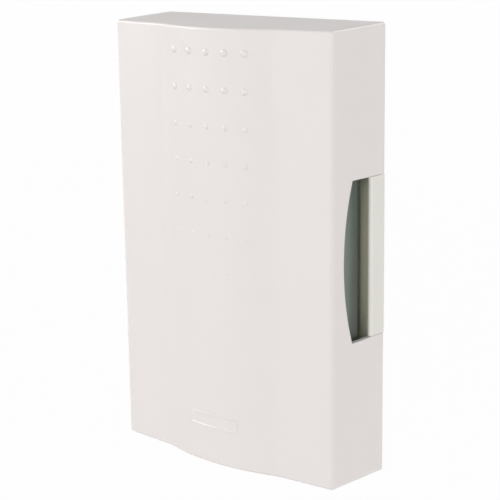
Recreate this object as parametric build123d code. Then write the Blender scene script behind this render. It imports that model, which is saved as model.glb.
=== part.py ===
# Wall-mounted two-tone doorbell chime: a moulded cover with a crowned front and side sound openings,
# over a base tray that carries two steel chime bars and a solenoid with a sprung double-ended striker.
#
# Frame: +Z up, the front faces -Y, and the wall plane is Y = 0, with the origin at the middle of the
# base's back face. A depth is a distance out from the wall, so a depth d lies at Y = -d. Millimetres.
import os
from math import asin, cos, hypot, pi, radians, sin, tan

from build123d import *

# Case, read from the photograph
case_width = 118.0
case_height = 190.0
corner_depth = 34.3
shoulder_rise = 2.3
crown_rise = 5.2
crown_width = 60.0
crown_blend_radius = 25.0
draft_angle = 2.1
cover_wall = 2.2
corner_radius = 1.1
edge_radius = 1.2
wall_gap = 0.3
overrun = 10.0

# Side sound openings
opening_height = 67.4
opening_corner_depth = 21.0
opening_bow = 5.6

# Raised dots on the crown
dot_columns = 5
dot_rows = 7
dot_pitch_x = 9.45
dot_pitch_z = 15.19
dot_top_margin = 11.5
dot_centre_x = -0.6
dot_radius_first = 1.85
dot_radius_last = 0.55
dot_relief_first = 0.8
dot_relief_last = 0.15

# Base tray
fit_gap = 0.25
floor_thickness = 2.2
rim_height = 6.0
rim_thickness = 1.6
ear_thickness = 2.5
ear_height = 8.8
ear_gap = 0.3
ear_edge_radius = 1.0
floor_rib_width = 1.4
floor_rib_height = 2.0
floor_rib_spread = 72.0
cross_rib_heights_share = (0.19, 0.305)

# Cover depth stops and catches
stop_rib_width = 1.5
stop_rib_reach = 2.4
stop_rib_gap = 0.1
stop_rib_depth_share = 0.86
side_stop_height_share = 0.43
end_stop_spread = 64.0
tongue_width = 16.0
tongue_thickness = 1.8
tongue_height = 14.0
tongue_gap = 0.5
nib_radius = 0.45
nib_setback = 2.2
groove_clearance = 0.25

# Wall fixings and the way in for the bell wires
keyhole_head_radius = 4.5
keyhole_slot_width = 4.5
keyhole_slot_rise = 7.0
keyhole_from_top = 20.0
keyhole_land = 3.0
keyhole_land_rise = 1.0
screw_hole_radius = 2.25
screw_hole_spread = 60.0
screw_hole_from_bottom = 20.0
screw_hole_land_radius = 5.0
screw_hole_land_rise = 1.0
cable_hole_radius = 5.0
cable_hole_from_bottom = 15.0
cable_collar_wall = 1.8
cable_collar_rise = 2.8

# Chime bars and how they hang
bar_thickness = 3.0
bar_width = 22.0
bar_length_right = 138.0
bar_length_left = 154.0
bar_inset = 7.5
axis_depth = 19.0
bar_chamfer = 0.4
bar_node_share = 0.276
bar_hole_radius = 3.25
grommet_neck_gap = 0.05
grommet_flange_radius = 4.6
grommet_flange = 1.4
grommet_side_gap = 0.05
peg_radius = 2.0
peg_gap = 0.05
peg_beyond_nut = 0.3
nut_radius = 3.4
nut_thickness = 0.8
nut_gap = 0.03
bar_play = 0.5
post_thickness = 4.5
post_width = 8.0
post_above_peg = 4.6
gusset_reach = 5.5
gusset_rise = 12.0
gusset_thickness = 2.0

# Solenoid
coil_length = 36.0
bobbin_side = 22.0
bobbin_corner_radius = 2.0
bobbin_flange = 1.2
bobbin_tube_wall = 1.0
bobbin_side_gap = 0.3
winding_radius = 9.6
winding_gap = 0.05
tape_thickness = 0.2
tape_share = 0.62
guide_wall = 0.5
guide_gap = 0.05
plunger_gap = 0.1
yoke_sheet = 1.5
yoke_bend_radius = 2.0
yoke_tab_width = 11.0
yoke_screw_spread = 35.0
yoke_tab_margin = 4.0
tenon_width = 6.0
tenon_pitch = 12.0
tenon_gap = 0.05
tenon_proud = 0.4
boss_radius = 3.6
tag_block_width = 3.6
tag_block_drop = 2.4
tag_depth_offset = 7.0
tag_radius = 0.5
tag_length = 5.5
tag_sink = 2.0

# Plunger, strikers and return spring
plunger_radius = 3.5
core_length = 48.0
core_chamfer = 0.5
ding_gap = 6.5
dong_gap = 2.5
core_from_left_tip = 9.5
striker_radius = 2.5
spigot_radius = 1.5
spigot_gap = 0.05
spigot_length = 5.0
clip_radius = 5.6
clip_thickness = 0.8
clip_groove_depth = 0.6
clip_gap = 0.03
clip_from_end = 1.6
clip_mouth_share = 0.8
spring_wire_radius = 0.25
spring_mean_radius = 4.65
spring_turns = 7
spring_end_gap = 0.05

# Terminal block and its metal parts
block_width = 34.0
block_height = 15.0
block_floor = 5.5
block_middle = 8.8
block_barrier = 1.4
block_barrier_rise = 4.6
block_from_bottom = 35.0
block_edge_radius = 0.6
block_boss_rise = 3.0
block_pocket_gap = 0.15
plate_thickness = 0.8
plate_gap = 0.25
plate_height_share = 0.86
terminal_pitch = 7.6
washer_side = 6.6
washer_thickness = 0.8
screw_radius = 1.25
screw_hole_gap = 0.05
screw_head_radius = 2.7
screw_head_height = 1.9
screw_slot_width = 0.7
screw_slot_depth = 0.8
terminal_screw_length = 6.2
yoke_screw_length = 6.6
block_screw_length = 5.6
block_screw_turn = 15.0
pilot_floor = 0.8
clearance_hole_gap = 0.35

# Leads from the coil to the terminals
lead_radius = 0.7
lead_core_radius = 0.45
lead_stub = 1.6
lead_rest_depth = 6.1
lead_run_share = 0.45
comb_height_from_axis = 33.0
comb_width = 2.0
comb_overhang = 3.0
comb_above_lead = 1.2
comb_slot_gap = 0.05

# Depths and places that the pieces share
half_width = case_width / 2
half_height = case_height / 2
shoulder_depth = corner_depth + shoulder_rise
crown_depth = shoulder_depth + crown_rise
draft_slope = tan(radians(draft_angle))
wall_across = cover_wall / cos(radians(draft_angle))
crown_radius = ((crown_width / 2) ** 2 + crown_rise**2) / (2 * crown_rise)
crown_centre_depth = crown_depth - crown_radius
bar_back_depth = axis_depth - bar_width / 2
bar_outer_x = half_width - bar_inset
bar_inner_x = bar_outer_x - bar_thickness
post_outer_x = bar_inner_x - grommet_flange - grommet_side_gap
post_inner_x = post_outer_x - post_thickness
guide_inner_radius = plunger_radius + plunger_gap
guide_outer_radius = guide_inner_radius + guide_wall
bobbin_bore_radius = guide_outer_radius + guide_gap
bobbin_tube_radius = bobbin_bore_radius + bobbin_tube_wall
yoke_inner_half = coil_length / 2 + bobbin_side_gap
yoke_half_length = yoke_inner_half + yoke_sheet
yoke_back_depth = axis_depth - bobbin_side / 2 - bobbin_side_gap - yoke_sheet
yoke_front_depth = axis_depth + bobbin_side / 2 + bobbin_side_gap
left_tip_x = -(bar_inner_x - dong_gap)
right_tip_x = bar_inner_x - ding_gap
core_left_x = left_tip_x + core_from_left_tip
core_right_x = core_left_x + core_length
clip_right_x = core_left_x + clip_from_end + clip_thickness
block_centre_z = block_from_bottom - half_height
block_front_depth = floor_thickness + block_floor
bay_centre_x = (block_width / 2 + block_middle / 2) / 2
plate_front_depth = block_front_depth + plate_thickness
bar_lengths = {"right": bar_length_right, "left": bar_length_left}
sides = {"right": 1, "left": -1}


def block(left, right, back, front, low, high):
    """Box between two X places, two depths out from the wall and two heights."""
    box = Box(right - left, front - back, high - low)
    return Pos((left + right) / 2, -(back + front) / 2, (low + high) / 2) * box


def rod_x(radius, left, right, depth, height):
    """Round rod along X."""
    return Pos((left + right) / 2, -depth, height) * Rot(0, 90, 0) * Cylinder(radius, right - left)


def rod_y(radius, back, front, x, height):
    """Round rod standing out from the wall."""
    return Pos(x, -(back + front) / 2, height) * Rot(90, 0, 0) * Cylinder(radius, front - back)


def mirrored(shape, sign):
    """The right-hand shape as it is, or mirrored for the left-hand side."""
    return shape if sign > 0 else mirror(shape, about=Plane.YZ)


def side_x(depth):
    """Half the case's outer width at a depth, which the draft narrows towards the front."""
    return half_width - depth * draft_slope


def end_z(depth):
    """Half the case's outer height at a depth."""
    return half_height - depth * draft_slope


def case_section(back):
    """The case seen from above: drafted sides, flat shoulders and the crowned middle."""
    left_foot = (-crown_width / 2, -shoulder_depth)
    right_foot = (crown_width / 2, -shoulder_depth)
    sides_and_shoulders = Polyline(
        left_foot,
        (-side_x(corner_depth), -corner_depth),
        (-side_x(back), -back),
        (side_x(back), -back),
        (side_x(corner_depth), -corner_depth),
        right_foot,
    )
    crown = ThreePointArc(right_foot, (0, -crown_depth), left_foot)
    face = make_face(sides_and_shoulders + crown)
    feet = [v for v in face.vertices() if abs(v.Y + shoulder_depth) < crown_rise / 100]
    return fillet(feet, crown_blend_radius)


def case_profile(back):
    """The case seen from the side, drafted towards the front and running past the crown."""
    front = crown_depth + overrun
    outline = Polyline(
        (-back, -end_z(back)),
        (-back, end_z(back)),
        (-front, end_z(front)),
        (-front, -end_z(front)),
        close=True,
    )
    return make_face(outline)


def case_body(inset, back, front):
    """The case's outside moved in by inset, between two depths."""
    behind = -(overrun + inset)
    section, profile = case_section(behind), case_profile(behind)
    if inset > 0:
        section, profile = offset(section, -inset), offset(profile, -inset)
    column = extrude(section, amount=case_height, both=True)
    slice_ = extrude(Plane.YZ * profile, amount=case_width, both=True)
    return column & slice_ & block(-case_width, case_width, back, front, -case_height, case_height)


def opening_cutter(margin):
    """The D-shaped side opening as a bar along X, drawn in by margin at its two ends."""
    half = opening_height / 2 - margin
    straight = Polyline(
        (-opening_corner_depth, half),
        (overrun, half),
        (overrun, -half),
        (-opening_corner_depth, -half),
    )
    bow_tip = (-(opening_corner_depth + opening_bow), 0)
    bow = ThreePointArc((-opening_corner_depth, -half), bow_tip, (-opening_corner_depth, half))
    return extrude(Plane.YZ * make_face(straight + bow), amount=case_width, both=True)


def cover_dots():
    """The grid of low domes, standing on the crown square to it and fading down the rows."""
    dots = []
    fade = (dot_radius_first - dot_radius_last) / (dot_rows - 1)
    sink = (dot_relief_first - dot_relief_last) / (dot_rows - 1)
    for row in range(dot_rows):
        radius = dot_radius_first - row * fade
        relief = dot_relief_first - row * sink
        ball_radius = (radius**2 + relief**2) / (2 * relief)
        height = half_height - dot_top_margin - row * dot_pitch_z
        for column in range(dot_columns):
            x = dot_centre_x + (column - (dot_columns - 1) / 2) * dot_pitch_x
            angle = asin(x / crown_radius)
            reach = crown_radius + relief - ball_radius
            place = Pos(sin(angle) * reach, -(crown_centre_depth + cos(angle) * reach), height)
            dots.append(place * Sphere(ball_radius))
    return dots


def cover_stops(shell):
    """Ribs inside the cover that stop on the base's rim, set in the walls of the solid shell."""
    back, front = rim_height + stop_rib_gap, corner_depth * stop_rib_depth_share
    inner_x, inner_z = side_x(front) - wall_across, end_z(front) - wall_across
    half = stop_rib_width / 2
    ribs = []
    for across in (-1, 1):
        for up in (-1, 1):
            height = up * case_height * side_stop_height_share
            left, right = sorted((across * (inner_x - stop_rib_reach), across * half_width))
            ribs.append(block(left, right, back, front, height - half, height + half))
            x = across * end_stop_spread / 2
            low, high = sorted((up * (inner_z - stop_rib_reach), up * half_height))
            ribs.append(block(x - half, x + half, back, front, low, high))
    return [rib & shell for rib in ribs]


def tongue_face_z():
    """Outer face of a catch tongue, clear of the cover's drafted end wall over its whole height."""
    return end_z(tongue_height) - wall_across - tongue_gap


def front_cover():
    """The moulded cover: drafted, crowned, dotted, hollow behind and open at both sides."""
    shell = case_body(0, wall_gap, crown_depth + overrun)
    corner_x, corner_z = side_x(corner_depth), end_z(corner_depth)
    slack = corner_depth * draft_slope + edge_radius / 10
    corners = [
        e
        for e in shell.edges()
        if abs(abs(e.center().X) - corner_x) < slack and abs(abs(e.center().Z) - corner_z) < slack
    ]
    shell = fillet(corners, corner_radius)
    front_edges = [
        e
        for e in shell.edges()
        if e.bounding_box().max.Y < -corner_depth + slack
        and (e.bounding_box().size.Z < corner_depth or abs(e.center().X) > crown_width * 0.7)
    ]
    shell = fillet(front_edges, edge_radius)
    solid_shell = shell
    hollow = case_body(cover_wall, -overrun, crown_depth)
    cover = shell + cover_dots() - hollow - opening_cutter(0)
    cover = cover + cover_stops(solid_shell)
    for up in (-1, 1):
        nib_depth = tongue_height - nib_setback
        wall_z = up * (end_z(nib_depth) - wall_across)
        half = tongue_width / 2 + fit_gap
        cover -= rod_x(nib_radius + groove_clearance, -half, half, nib_depth, wall_z)
    return cover


def base_ears():
    """The two side walls that fill the back of the openings, flush with the cover's outside."""
    half = opening_height / 2 - ear_gap
    ears = []
    for sign in (-1, 1):
        left, right = sorted((sign * (half_width - ear_thickness), sign * case_width))
        lip = case_body(0, 0, ear_height) & block(left, right, 0, ear_height, -half, half)
        lip_edges = [e for e in lip.edges() if e.bounding_box().max.Y < -ear_height + ear_edge_radius]
        lip = fillet(lip_edges, ear_edge_radius)
        root = half_width - ear_thickness - rim_thickness
        left, right = sorted((sign * root, sign * case_width))
        foot = case_body(0, 0, floor_thickness) & block(left, right, 0, ear_height, -half, half)
        ears += [lip, foot]
    return ears


def bar_posts(side):
    """The two posts and pegs that one bar hangs on, each with a gusset."""
    sign, peg_z = sides[side], bar_lengths[side] * bar_node_share
    peg_end = bar_outer_x + grommet_flange + grommet_side_gap + bar_play + nut_thickness + peg_beyond_nut
    parts = []
    for height in (-peg_z, peg_z):
        half = post_width / 2
        front = axis_depth + post_above_peg
        post = block(post_inner_x, post_outer_x, 0, front, height - half, height + half)
        peg = rod_x(peg_radius, post_inner_x, peg_end, axis_depth, height)
        heel = (post_inner_x - gusset_reach, -floor_thickness / 2)
        toe = (post_outer_x, -floor_thickness / 2)
        top_outer, top_inner = (post_outer_x, -gusset_rise), (post_inner_x, -gusset_rise)
        web = make_face(Polyline(heel, toe, top_outer, top_inner, close=True))
        gusset = Pos(0, 0, height) * extrude(web, amount=gusset_thickness / 2, both=True)
        parts += [mirrored(shape, sign) for shape in (post, peg, gusset)]
    return parts


def floor_ribs():
    """Low stiffening ribs across and along the floor."""
    front, half = floor_thickness + floor_rib_height, floor_rib_width / 2
    reach = half_height - wall_across - fit_gap - rim_thickness
    x = floor_rib_spread / 2
    ribs = [block(s * x - half, s * x + half, 0, front, -reach, reach) for s in (-1, 1)]
    for share in cross_rib_heights_share:
        height = share * case_height
        ribs.append(block(-x, x, 0, front, height - half, height + half))
    return ribs


def catch_tongues():
    """The springy tongues at the two ends, each with a nib that sits at the cover's groove."""
    half, face_z = tongue_width / 2, tongue_face_z()
    parts = []
    for up in (-1, 1):
        low, high = sorted((up * face_z, up * (face_z - tongue_thickness)))
        parts.append(block(-half, half, 0, tongue_height, low, high))
        parts.append(rod_x(nib_radius, -half, half, tongue_height - nib_setback, up * face_z))
    return parts


def lead_x():
    """X of a lead where it lies in its terminal bay, beside the screw."""
    return bay_centre_x + screw_radius + lead_core_radius + plate_gap


def lead_comb():
    """A rib with two slots that hold the coil's leads down."""
    height = -comb_height_from_axis
    reach, half = lead_x() + comb_overhang, comb_width / 2
    front = lead_rest_depth + lead_radius + comb_above_lead
    comb = block(-reach, reach, 0, front, height - half, height + half)
    slot = lead_radius + comb_slot_gap
    for sign in (-1, 1):
        x = sign * lead_x()
        low, high = height - overrun, height + overrun
        comb -= block(x - slot, x + slot, lead_rest_depth, front + overrun, low, high)
        comb -= Pos(x, -lead_rest_depth, height) * Cylinder(slot, comb_width + overrun)
    return comb


def keyhole_z():
    return half_height - keyhole_from_top


def keyhole_cutter():
    """Round way in for a wall screw's head, with the slot that its shank slides up into."""
    height, half = keyhole_z(), keyhole_slot_width / 2
    top = height + keyhole_slot_rise
    head = rod_y(keyhole_head_radius, -overrun, overrun, 0, height)
    slot = block(-half, half, -overrun, overrun, height, top)
    return head + slot + rod_y(half, -overrun, overrun, 0, top)


def base_plate():
    """The base tray with everything that is moulded in one with it."""
    inset = cover_wall + fit_gap
    floor = case_body(inset, 0, floor_thickness)
    rim = case_body(inset, 0, rim_height) - case_body(inset + rim_thickness, -overrun, corner_depth)
    gap_half = opening_height / 2
    rim -= block(-case_width, case_width, floor_thickness, corner_depth, -gap_half, gap_half)
    hole_z = screw_hole_from_bottom - half_height
    cable_z = cable_hole_from_bottom - half_height
    land_front, slot_top = floor_thickness + keyhole_land_rise, keyhole_z() + keyhole_slot_rise
    lands = [
        rod_y(keyhole_head_radius + keyhole_land, 0, land_front, 0, keyhole_z()),
        rod_y(keyhole_slot_width / 2 + keyhole_land, 0, land_front, 0, slot_top),
    ]
    for sign in (-1, 1):
        x = sign * screw_hole_spread / 2
        lands.append(rod_y(screw_hole_land_radius, 0, floor_thickness + screw_hole_land_rise, x, hole_z))
        lands.append(rod_y(boss_radius, 0, yoke_back_depth, 0, sign * yoke_screw_spread / 2))
    lands.append(rod_y(boss_radius, 0, floor_thickness + block_boss_rise, 0, block_centre_z))
    collar_front = floor_thickness + cable_collar_rise
    lands.append(rod_y(cable_hole_radius + cable_collar_wall, 0, collar_front, 0, cable_z))
    base = floor + rim + base_ears() + lands + floor_ribs() + catch_tongues() + lead_comb()
    base = base + bar_posts("right") + bar_posts("left")
    base -= keyhole_cutter()
    base -= rod_y(cable_hole_radius, -overrun, corner_depth, 0, cable_z)
    pilot = screw_radius + screw_hole_gap
    for sign in (-1, 1):
        base -= rod_y(screw_hole_radius, -overrun, corner_depth, sign * screw_hole_spread / 2, hole_z)
        base -= rod_y(pilot, pilot_floor, corner_depth, 0, sign * yoke_screw_spread / 2)
    base -= rod_y(pilot, pilot_floor, corner_depth, 0, block_centre_z)
    return base


def chime_bar(side):
    """A flat steel bar on edge, holed where it does not move when it rings."""
    half = bar_lengths[side] / 2
    bar = block(bar_inner_x, bar_outer_x, bar_back_depth, bar_back_depth + bar_width, -half, half)
    bar = chamfer(bar.edges(), bar_chamfer)
    peg_z = bar_lengths[side] * bar_node_share
    for height in (-peg_z, peg_z):
        bar -= rod_x(bar_hole_radius, bar_inner_x - overrun, bar_outer_x + overrun, axis_depth, height)
    return mirrored(bar, sides[side])


def bar_grommets(side):
    """Two double-flanged rubber grommets that sit in a bar's holes, on the pegs."""
    inner, outer = peg_radius + peg_gap, grommet_flange_radius
    neck = bar_hole_radius - grommet_neck_gap
    neck_half = bar_thickness / 2 + grommet_side_gap / 2
    end = neck_half + grommet_flange
    outline = Polyline(
        (-end, inner), (-end, outer), (-neck_half, outer), (-neck_half, neck),
        (neck_half, neck), (neck_half, outer), (end, outer), (end, inner), close=True,
    )
    spool = revolve(make_face(outline), axis=Axis.X)
    rims = spool.edges().filter_by(GeomType.CIRCLE)
    rim_edges = [e for e in rims if abs(e.radius - outer) < peg_gap]
    spool = chamfer(rim_edges, grommet_flange / 3)
    middle = (bar_inner_x + bar_outer_x) / 2
    peg_z = bar_lengths[side] * bar_node_share
    return group_of([mirrored(Pos(middle, -axis_depth, z) * spool, sides[side]) for z in (-peg_z, peg_z)])


def peg_nuts():
    """Push-on nuts that keep the bars on their pegs."""
    left = bar_outer_x + grommet_flange + grommet_side_gap + bar_play
    nuts = []
    for side, sign in sides.items():
        peg_z = bar_lengths[side] * bar_node_share
        for height in (-peg_z, peg_z):
            nut = rod_x(nut_radius, left, left + nut_thickness, axis_depth, height)
            nut -= rod_x(peg_radius + nut_gap, left - overrun, left + overrun, axis_depth, height)
            nuts.append(mirrored(nut, sign))
    return group_of(nuts)


def group_of(shapes):
    """Separate solids kept together as one group."""
    return Compound(children=[solid for shape in shapes for solid in shape.solids()])


def coil_bobbin():
    """Square-flanged bobbin, with a block under each flange for a solder tag."""
    half, side = coil_length / 2, bobbin_side / 2
    plate = RectangleRounded(bobbin_side, bobbin_side, bobbin_corner_radius)
    bobbin = rod_x(bobbin_tube_radius, -half, half, axis_depth, 0)
    for sign in (-1, 1):
        flange = extrude(Plane.YZ * plate, amount=bobbin_flange)
        start = half - bobbin_flange if sign > 0 else -half
        bobbin += Pos(start, -axis_depth, 0) * flange
        left, right = sorted((sign * half, sign * (half - tag_block_width)))
        mid = axis_depth - tag_depth_offset
        w = tag_block_width / 2
        bobbin += block(left, right, mid - w, mid + w, -side - tag_block_drop, -side + bobbin_flange)
        x = sign * (half - tag_block_width / 2)
        low = -side - tag_block_drop - overrun
        tag_hole = Pos(x, -mid, (low - side - tag_block_drop + tag_sink) / 2)
        bobbin -= tag_hole * Cylinder(tag_radius + clip_gap, -side - tag_block_drop + tag_sink - low)
    return bobbin - rod_x(bobbin_bore_radius, -coil_length, coil_length, axis_depth, 0)


def coil_winding():
    """The wound copper, level over its whole length."""
    half = coil_length / 2 - bobbin_flange - winding_gap
    ring = rod_x(winding_radius, -half, half, axis_depth, 0)
    return ring - rod_x(bobbin_tube_radius + winding_gap, -coil_length, coil_length, axis_depth, 0)


def coil_tape():
    """Band of insulating tape round the winding."""
    half = coil_length * tape_share / 2
    inner = winding_radius + winding_gap
    band = rod_x(inner + tape_thickness, -half, half, axis_depth, 0)
    return band - rod_x(inner, -coil_length, coil_length, axis_depth, 0)


def tag_places():
    """X, depth and lower end of each solder tag."""
    x = coil_length / 2 - tag_block_width / 2
    low = -bobbin_side / 2 - tag_block_drop + tag_sink - tag_length
    return [(sign * x, axis_depth - tag_depth_offset, low) for sign in (-1, 1)]


def coil_tags():
    """Two pins that the winding's ends and the leads are soldered to."""
    tags = []
    for x, depth, low in tag_places():
        tags.append(Pos(x, -depth, low + tag_length / 2) * Cylinder(tag_radius, tag_length))
    return group_of(tags)


def coil_yoke():
    """Bent U of steel round the coil, with two screw tabs and tenons for the strap."""
    outer, side = yoke_half_length, bobbin_side / 2
    sheet = block(-outer, outer, yoke_back_depth, yoke_front_depth, -side, side)
    bends = [e for e in sheet.edges().filter_by(Axis.Z) if e.center().Y > -axis_depth]
    sheet = fillet(bends, yoke_bend_radius)
    half, inner_depth = yoke_inner_half, yoke_back_depth + yoke_sheet
    inside = block(-half, half, inner_depth, yoke_front_depth + overrun, -case_height, case_height)
    bends = [e for e in inside.edges().filter_by(Axis.Z) if e.center().Y > -axis_depth]
    yoke = sheet - fillet(bends, yoke_bend_radius - yoke_sheet)
    reach = yoke_screw_spread / 2 + yoke_tab_margin
    w = yoke_tab_width / 2
    tab = block(-w, w, yoke_back_depth, yoke_back_depth + yoke_sheet, -reach, reach)
    tab_corners = tab.edges().filter_by(Axis.Y)
    yoke += fillet(tab_corners, yoke_bend_radius)
    for sign in (-1, 1):
        hole = rod_y(screw_radius + clearance_hole_gap, 0, axis_depth, 0, sign * yoke_screw_spread / 2)
        yoke -= hole
        for up in (-1, 1):
            left, right = sorted((sign * half, sign * outer))
            z = up * tenon_pitch / 2
            t = tenon_width / 2 / 2
            tip = yoke_front_depth + yoke_sheet + tenon_proud
            yoke += block(left, right, yoke_front_depth - yoke_sheet, tip, z - t, z + t)
    return yoke - rod_x(guide_outer_radius + guide_gap, -case_width, case_width, axis_depth, 0)


def yoke_strap():
    """Flat strap across the yoke's open end, slotted for its four tenons."""
    side, outer, half = bobbin_side / 2, yoke_half_length, yoke_inner_half
    front = yoke_front_depth + yoke_sheet
    strap = block(-outer - yoke_sheet / 2, outer + yoke_sheet / 2, yoke_front_depth, front, -side, side)
    strap = fillet(strap.edges().filter_by(Axis.Y), yoke_bend_radius)
    for sign in (-1, 1):
        for up in (-1, 1):
            left, right = sorted((sign * (half - tenon_gap), sign * (outer + tenon_gap)))
            z, t = up * tenon_pitch / 2, tenon_width / 2 / 2 + tenon_gap
            strap -= block(left, right, yoke_front_depth - overrun, front + overrun, z - t, z + t)
    return strap


def guide_tube():
    """Brass tube that the plunger runs in, as long as the yoke."""
    tube = rod_x(guide_outer_radius, -yoke_half_length, yoke_half_length, axis_depth, 0)
    return tube - rod_x(guide_inner_radius, -case_width, case_width, axis_depth, 0)


def pan_screw(length, head_back, x, height, turn):
    """Slotted pan-head screw whose head seats at a depth and faces the front."""
    head_front = head_back + screw_head_height
    head = rod_y(screw_head_radius, head_back, head_front, x, height)
    crown = [e for e in head.edges() if e.center().Y < -head_back - screw_head_height / 2]
    head = chamfer(crown, screw_head_height / 3)
    slot = Box(screw_head_radius * 3, screw_slot_depth * 2, screw_slot_width)
    head -= Pos(x, -head_front, height) * Rot(0, turn, 0) * slot
    return head + rod_y(screw_radius, head_back - length, head_back, x, height)


def plunger_core():
    """Round iron core, bored at both ends for the strikers and grooved for the clip."""
    core = rod_x(plunger_radius, core_left_x, core_right_x, axis_depth, 0)
    core = chamfer([e for e in core.edges() if e.geom_type == GeomType.CIRCLE], core_chamfer)
    bore = spigot_radius + spigot_gap
    core -= rod_x(bore, core_left_x - overrun, core_left_x + spigot_length + spigot_gap, axis_depth, 0)
    core -= rod_x(bore, core_right_x - spigot_length - spigot_gap, core_right_x + overrun, axis_depth, 0)
    left, right = clip_right_x - clip_thickness - clip_gap, clip_right_x + clip_gap
    groove = rod_x(plunger_radius + overrun, left, right, axis_depth, 0)
    groove -= rod_x(plunger_radius - clip_groove_depth, left - overrun, right + overrun, axis_depth, 0)
    return core - groove


def striker(tip_x, seat_x):
    """Nylon striker with a domed tip and a spigot that goes into the core."""
    away = 1 if tip_x > seat_x else -1
    shaft_end = tip_x - away * striker_radius
    outline = [
        Line((seat_x, 0), (seat_x - away * spigot_length, 0)),
        Line((seat_x - away * spigot_length, 0), (seat_x - away * spigot_length, spigot_radius)),
        Line((seat_x - away * spigot_length, spigot_radius), (seat_x, spigot_radius)),
        Line((seat_x, spigot_radius), (seat_x, striker_radius)),
        Line((seat_x, striker_radius), (shaft_end, striker_radius)),
        RadiusArc((shaft_end, striker_radius), (tip_x, 0), striker_radius * away),
        Line((tip_x, 0), (seat_x, 0)),
    ]
    return Pos(0, -axis_depth, 0) * revolve(make_face(outline), axis=Axis.X)


def spring_clip():
    """E-clip in the core's groove, which the spring bears on."""
    left, right = clip_right_x - clip_thickness, clip_right_x
    inner = plunger_radius - clip_groove_depth + clip_gap
    clip = rod_x(clip_radius, left, right, axis_depth, 0)
    clip -= rod_x(inner, left - overrun, right + overrun, axis_depth, 0)
    mouth = inner * clip_mouth_share
    return clip - block(left - overrun, right + overrun, axis_depth, axis_depth + overrun, -mouth, mouth)


def biarc(start, start_way, end, end_way):
    """Two arcs, tangent where they meet, from one point and direction to another."""
    chord, sum_of_ways = end - start, start_way + end_way
    bend = 2 * (1 - start_way.dot(end_way))
    along = chord.dot(sum_of_ways)
    reach = (-along + (along**2 + bend * chord.dot(chord)) ** 0.5) / bend
    meet = (start + end + (start_way - end_way) * reach) * 0.5
    meet_way = ((end - end_way * reach) - (start + start_way * reach)).normalized()
    return [TangentArc(start, meet, tangent=start_way), TangentArc(meet, end, tangent=meet_way)]


def least_gap(path, wire_radius, turns):
    """Least clear space between a wound tube's turns, measured on points half a turn or more apart."""
    per_turn = 24
    points = [path.position_at(i / (per_turn * turns)) for i in range(per_turn * turns + 1)]
    pairs = ((a, b) for i, a in enumerate(points) for b in points[i + per_turn // 2 :])
    return min((b - a).length for a, b in pairs) - 2 * wire_radius


def return_spring():
    """Compression spring between the yoke and the clip, wound on biarcs of a quarter turn."""
    left = clip_right_x + spring_end_gap + spring_wire_radius
    right = -yoke_half_length - spring_end_gap - spring_wire_radius
    pitch = (right - left) / spring_turns
    quarters = 4 * spring_turns
    rise = pitch / (2 * pi)

    def place(step):
        angle = 2 * pi * step / 4
        y, z = spring_mean_radius * cos(angle), spring_mean_radius * sin(angle)
        return Vector(left + pitch * step / 4, y - axis_depth, z)

    def way(step):
        angle = 2 * pi * step / 4
        return Vector(rise, -spring_mean_radius * sin(angle), spring_mean_radius * cos(angle)).normalized()

    arcs = []
    for step in range(quarters):
        arcs += biarc(place(step), way(step), place(step + 1), way(step + 1))
    path = Wire([edge for arc in arcs for edge in arc.edges()])
    print("return spring: least gap to itself", round(least_gap(path, spring_wire_radius, spring_turns), 2))
    section = Plane(origin=place(0), z_dir=way(0)) * Circle(spring_wire_radius)
    return sweep(section, path=path)


def terminal_block():
    """Two-way terminal block: a bay each side of a middle land, with barriers between and outside."""
    half, low, high = block_width / 2, block_centre_z - block_height / 2, block_centre_z + block_height / 2
    front = block_front_depth + block_barrier_rise
    body = block(-half, half, floor_thickness, front, low, high)
    body = fillet(body.edges().filter_by(Axis.Y), block_edge_radius)
    for sign in (-1, 1):
        left, right = sorted((sign * block_middle / 2, sign * (half - block_barrier)))
        body -= block(left, right, block_front_depth, front + overrun, low - overrun, high + overrun)
        for up in (-1, 1):
            z = block_centre_z + up * terminal_pitch / 2
            x = sign * bay_centre_x
            body -= rod_y(screw_radius + screw_hole_gap, floor_thickness + pilot_floor, front, x, z)
    well, seat = block_middle / 2 - block_barrier, block_front_depth - plate_thickness
    body -= block(-well, well, seat, front + overrun, low - overrun, high + overrun)
    body -= rod_y(screw_radius + clearance_hole_gap, 0, front, 0, block_centre_z)
    pocket = floor_thickness + block_boss_rise + block_pocket_gap
    return body - rod_y(boss_radius + block_pocket_gap, 0, pocket, 0, block_centre_z)


def terminal_plates():
    """Brass plates that join the two screws of each bay."""
    x0 = block_middle / 2 + plate_gap
    x1 = block_width / 2 - block_barrier - plate_gap
    half = block_height * plate_height_share / 2
    plates = []
    for sign in (-1, 1):
        left, right = sorted((sign * x0, sign * x1))
        low, high = block_centre_z - half, block_centre_z + half
        plate = block(left, right, block_front_depth, plate_front_depth, low, high)
        for up in (-1, 1):
            z = block_centre_z + up * terminal_pitch / 2
            plate -= rod_y(screw_radius + screw_hole_gap, 0, axis_depth, sign * bay_centre_x, z)
        plates.append(plate)
    return group_of(plates)


def clamp_back_depth(up):
    """Back of a clamp washer: on the lead's bare end above, and on the plate below."""
    return plate_front_depth + (2 * lead_core_radius if up > 0 else 0)


def terminal_washers():
    """Square clamp washers under the four terminal screws."""
    washers, half = [], washer_side / 2
    for sign in (-1, 1):
        for up in (-1, 1):
            x, z = sign * bay_centre_x, block_centre_z + up * terminal_pitch / 2
            back = clamp_back_depth(up)
            washer = block(x - half, x + half, back, back + washer_thickness, z - half, z + half)
            washers.append(washer - rod_y(screw_radius + screw_hole_gap, 0, axis_depth, x, z))
    return group_of(washers)


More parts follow.
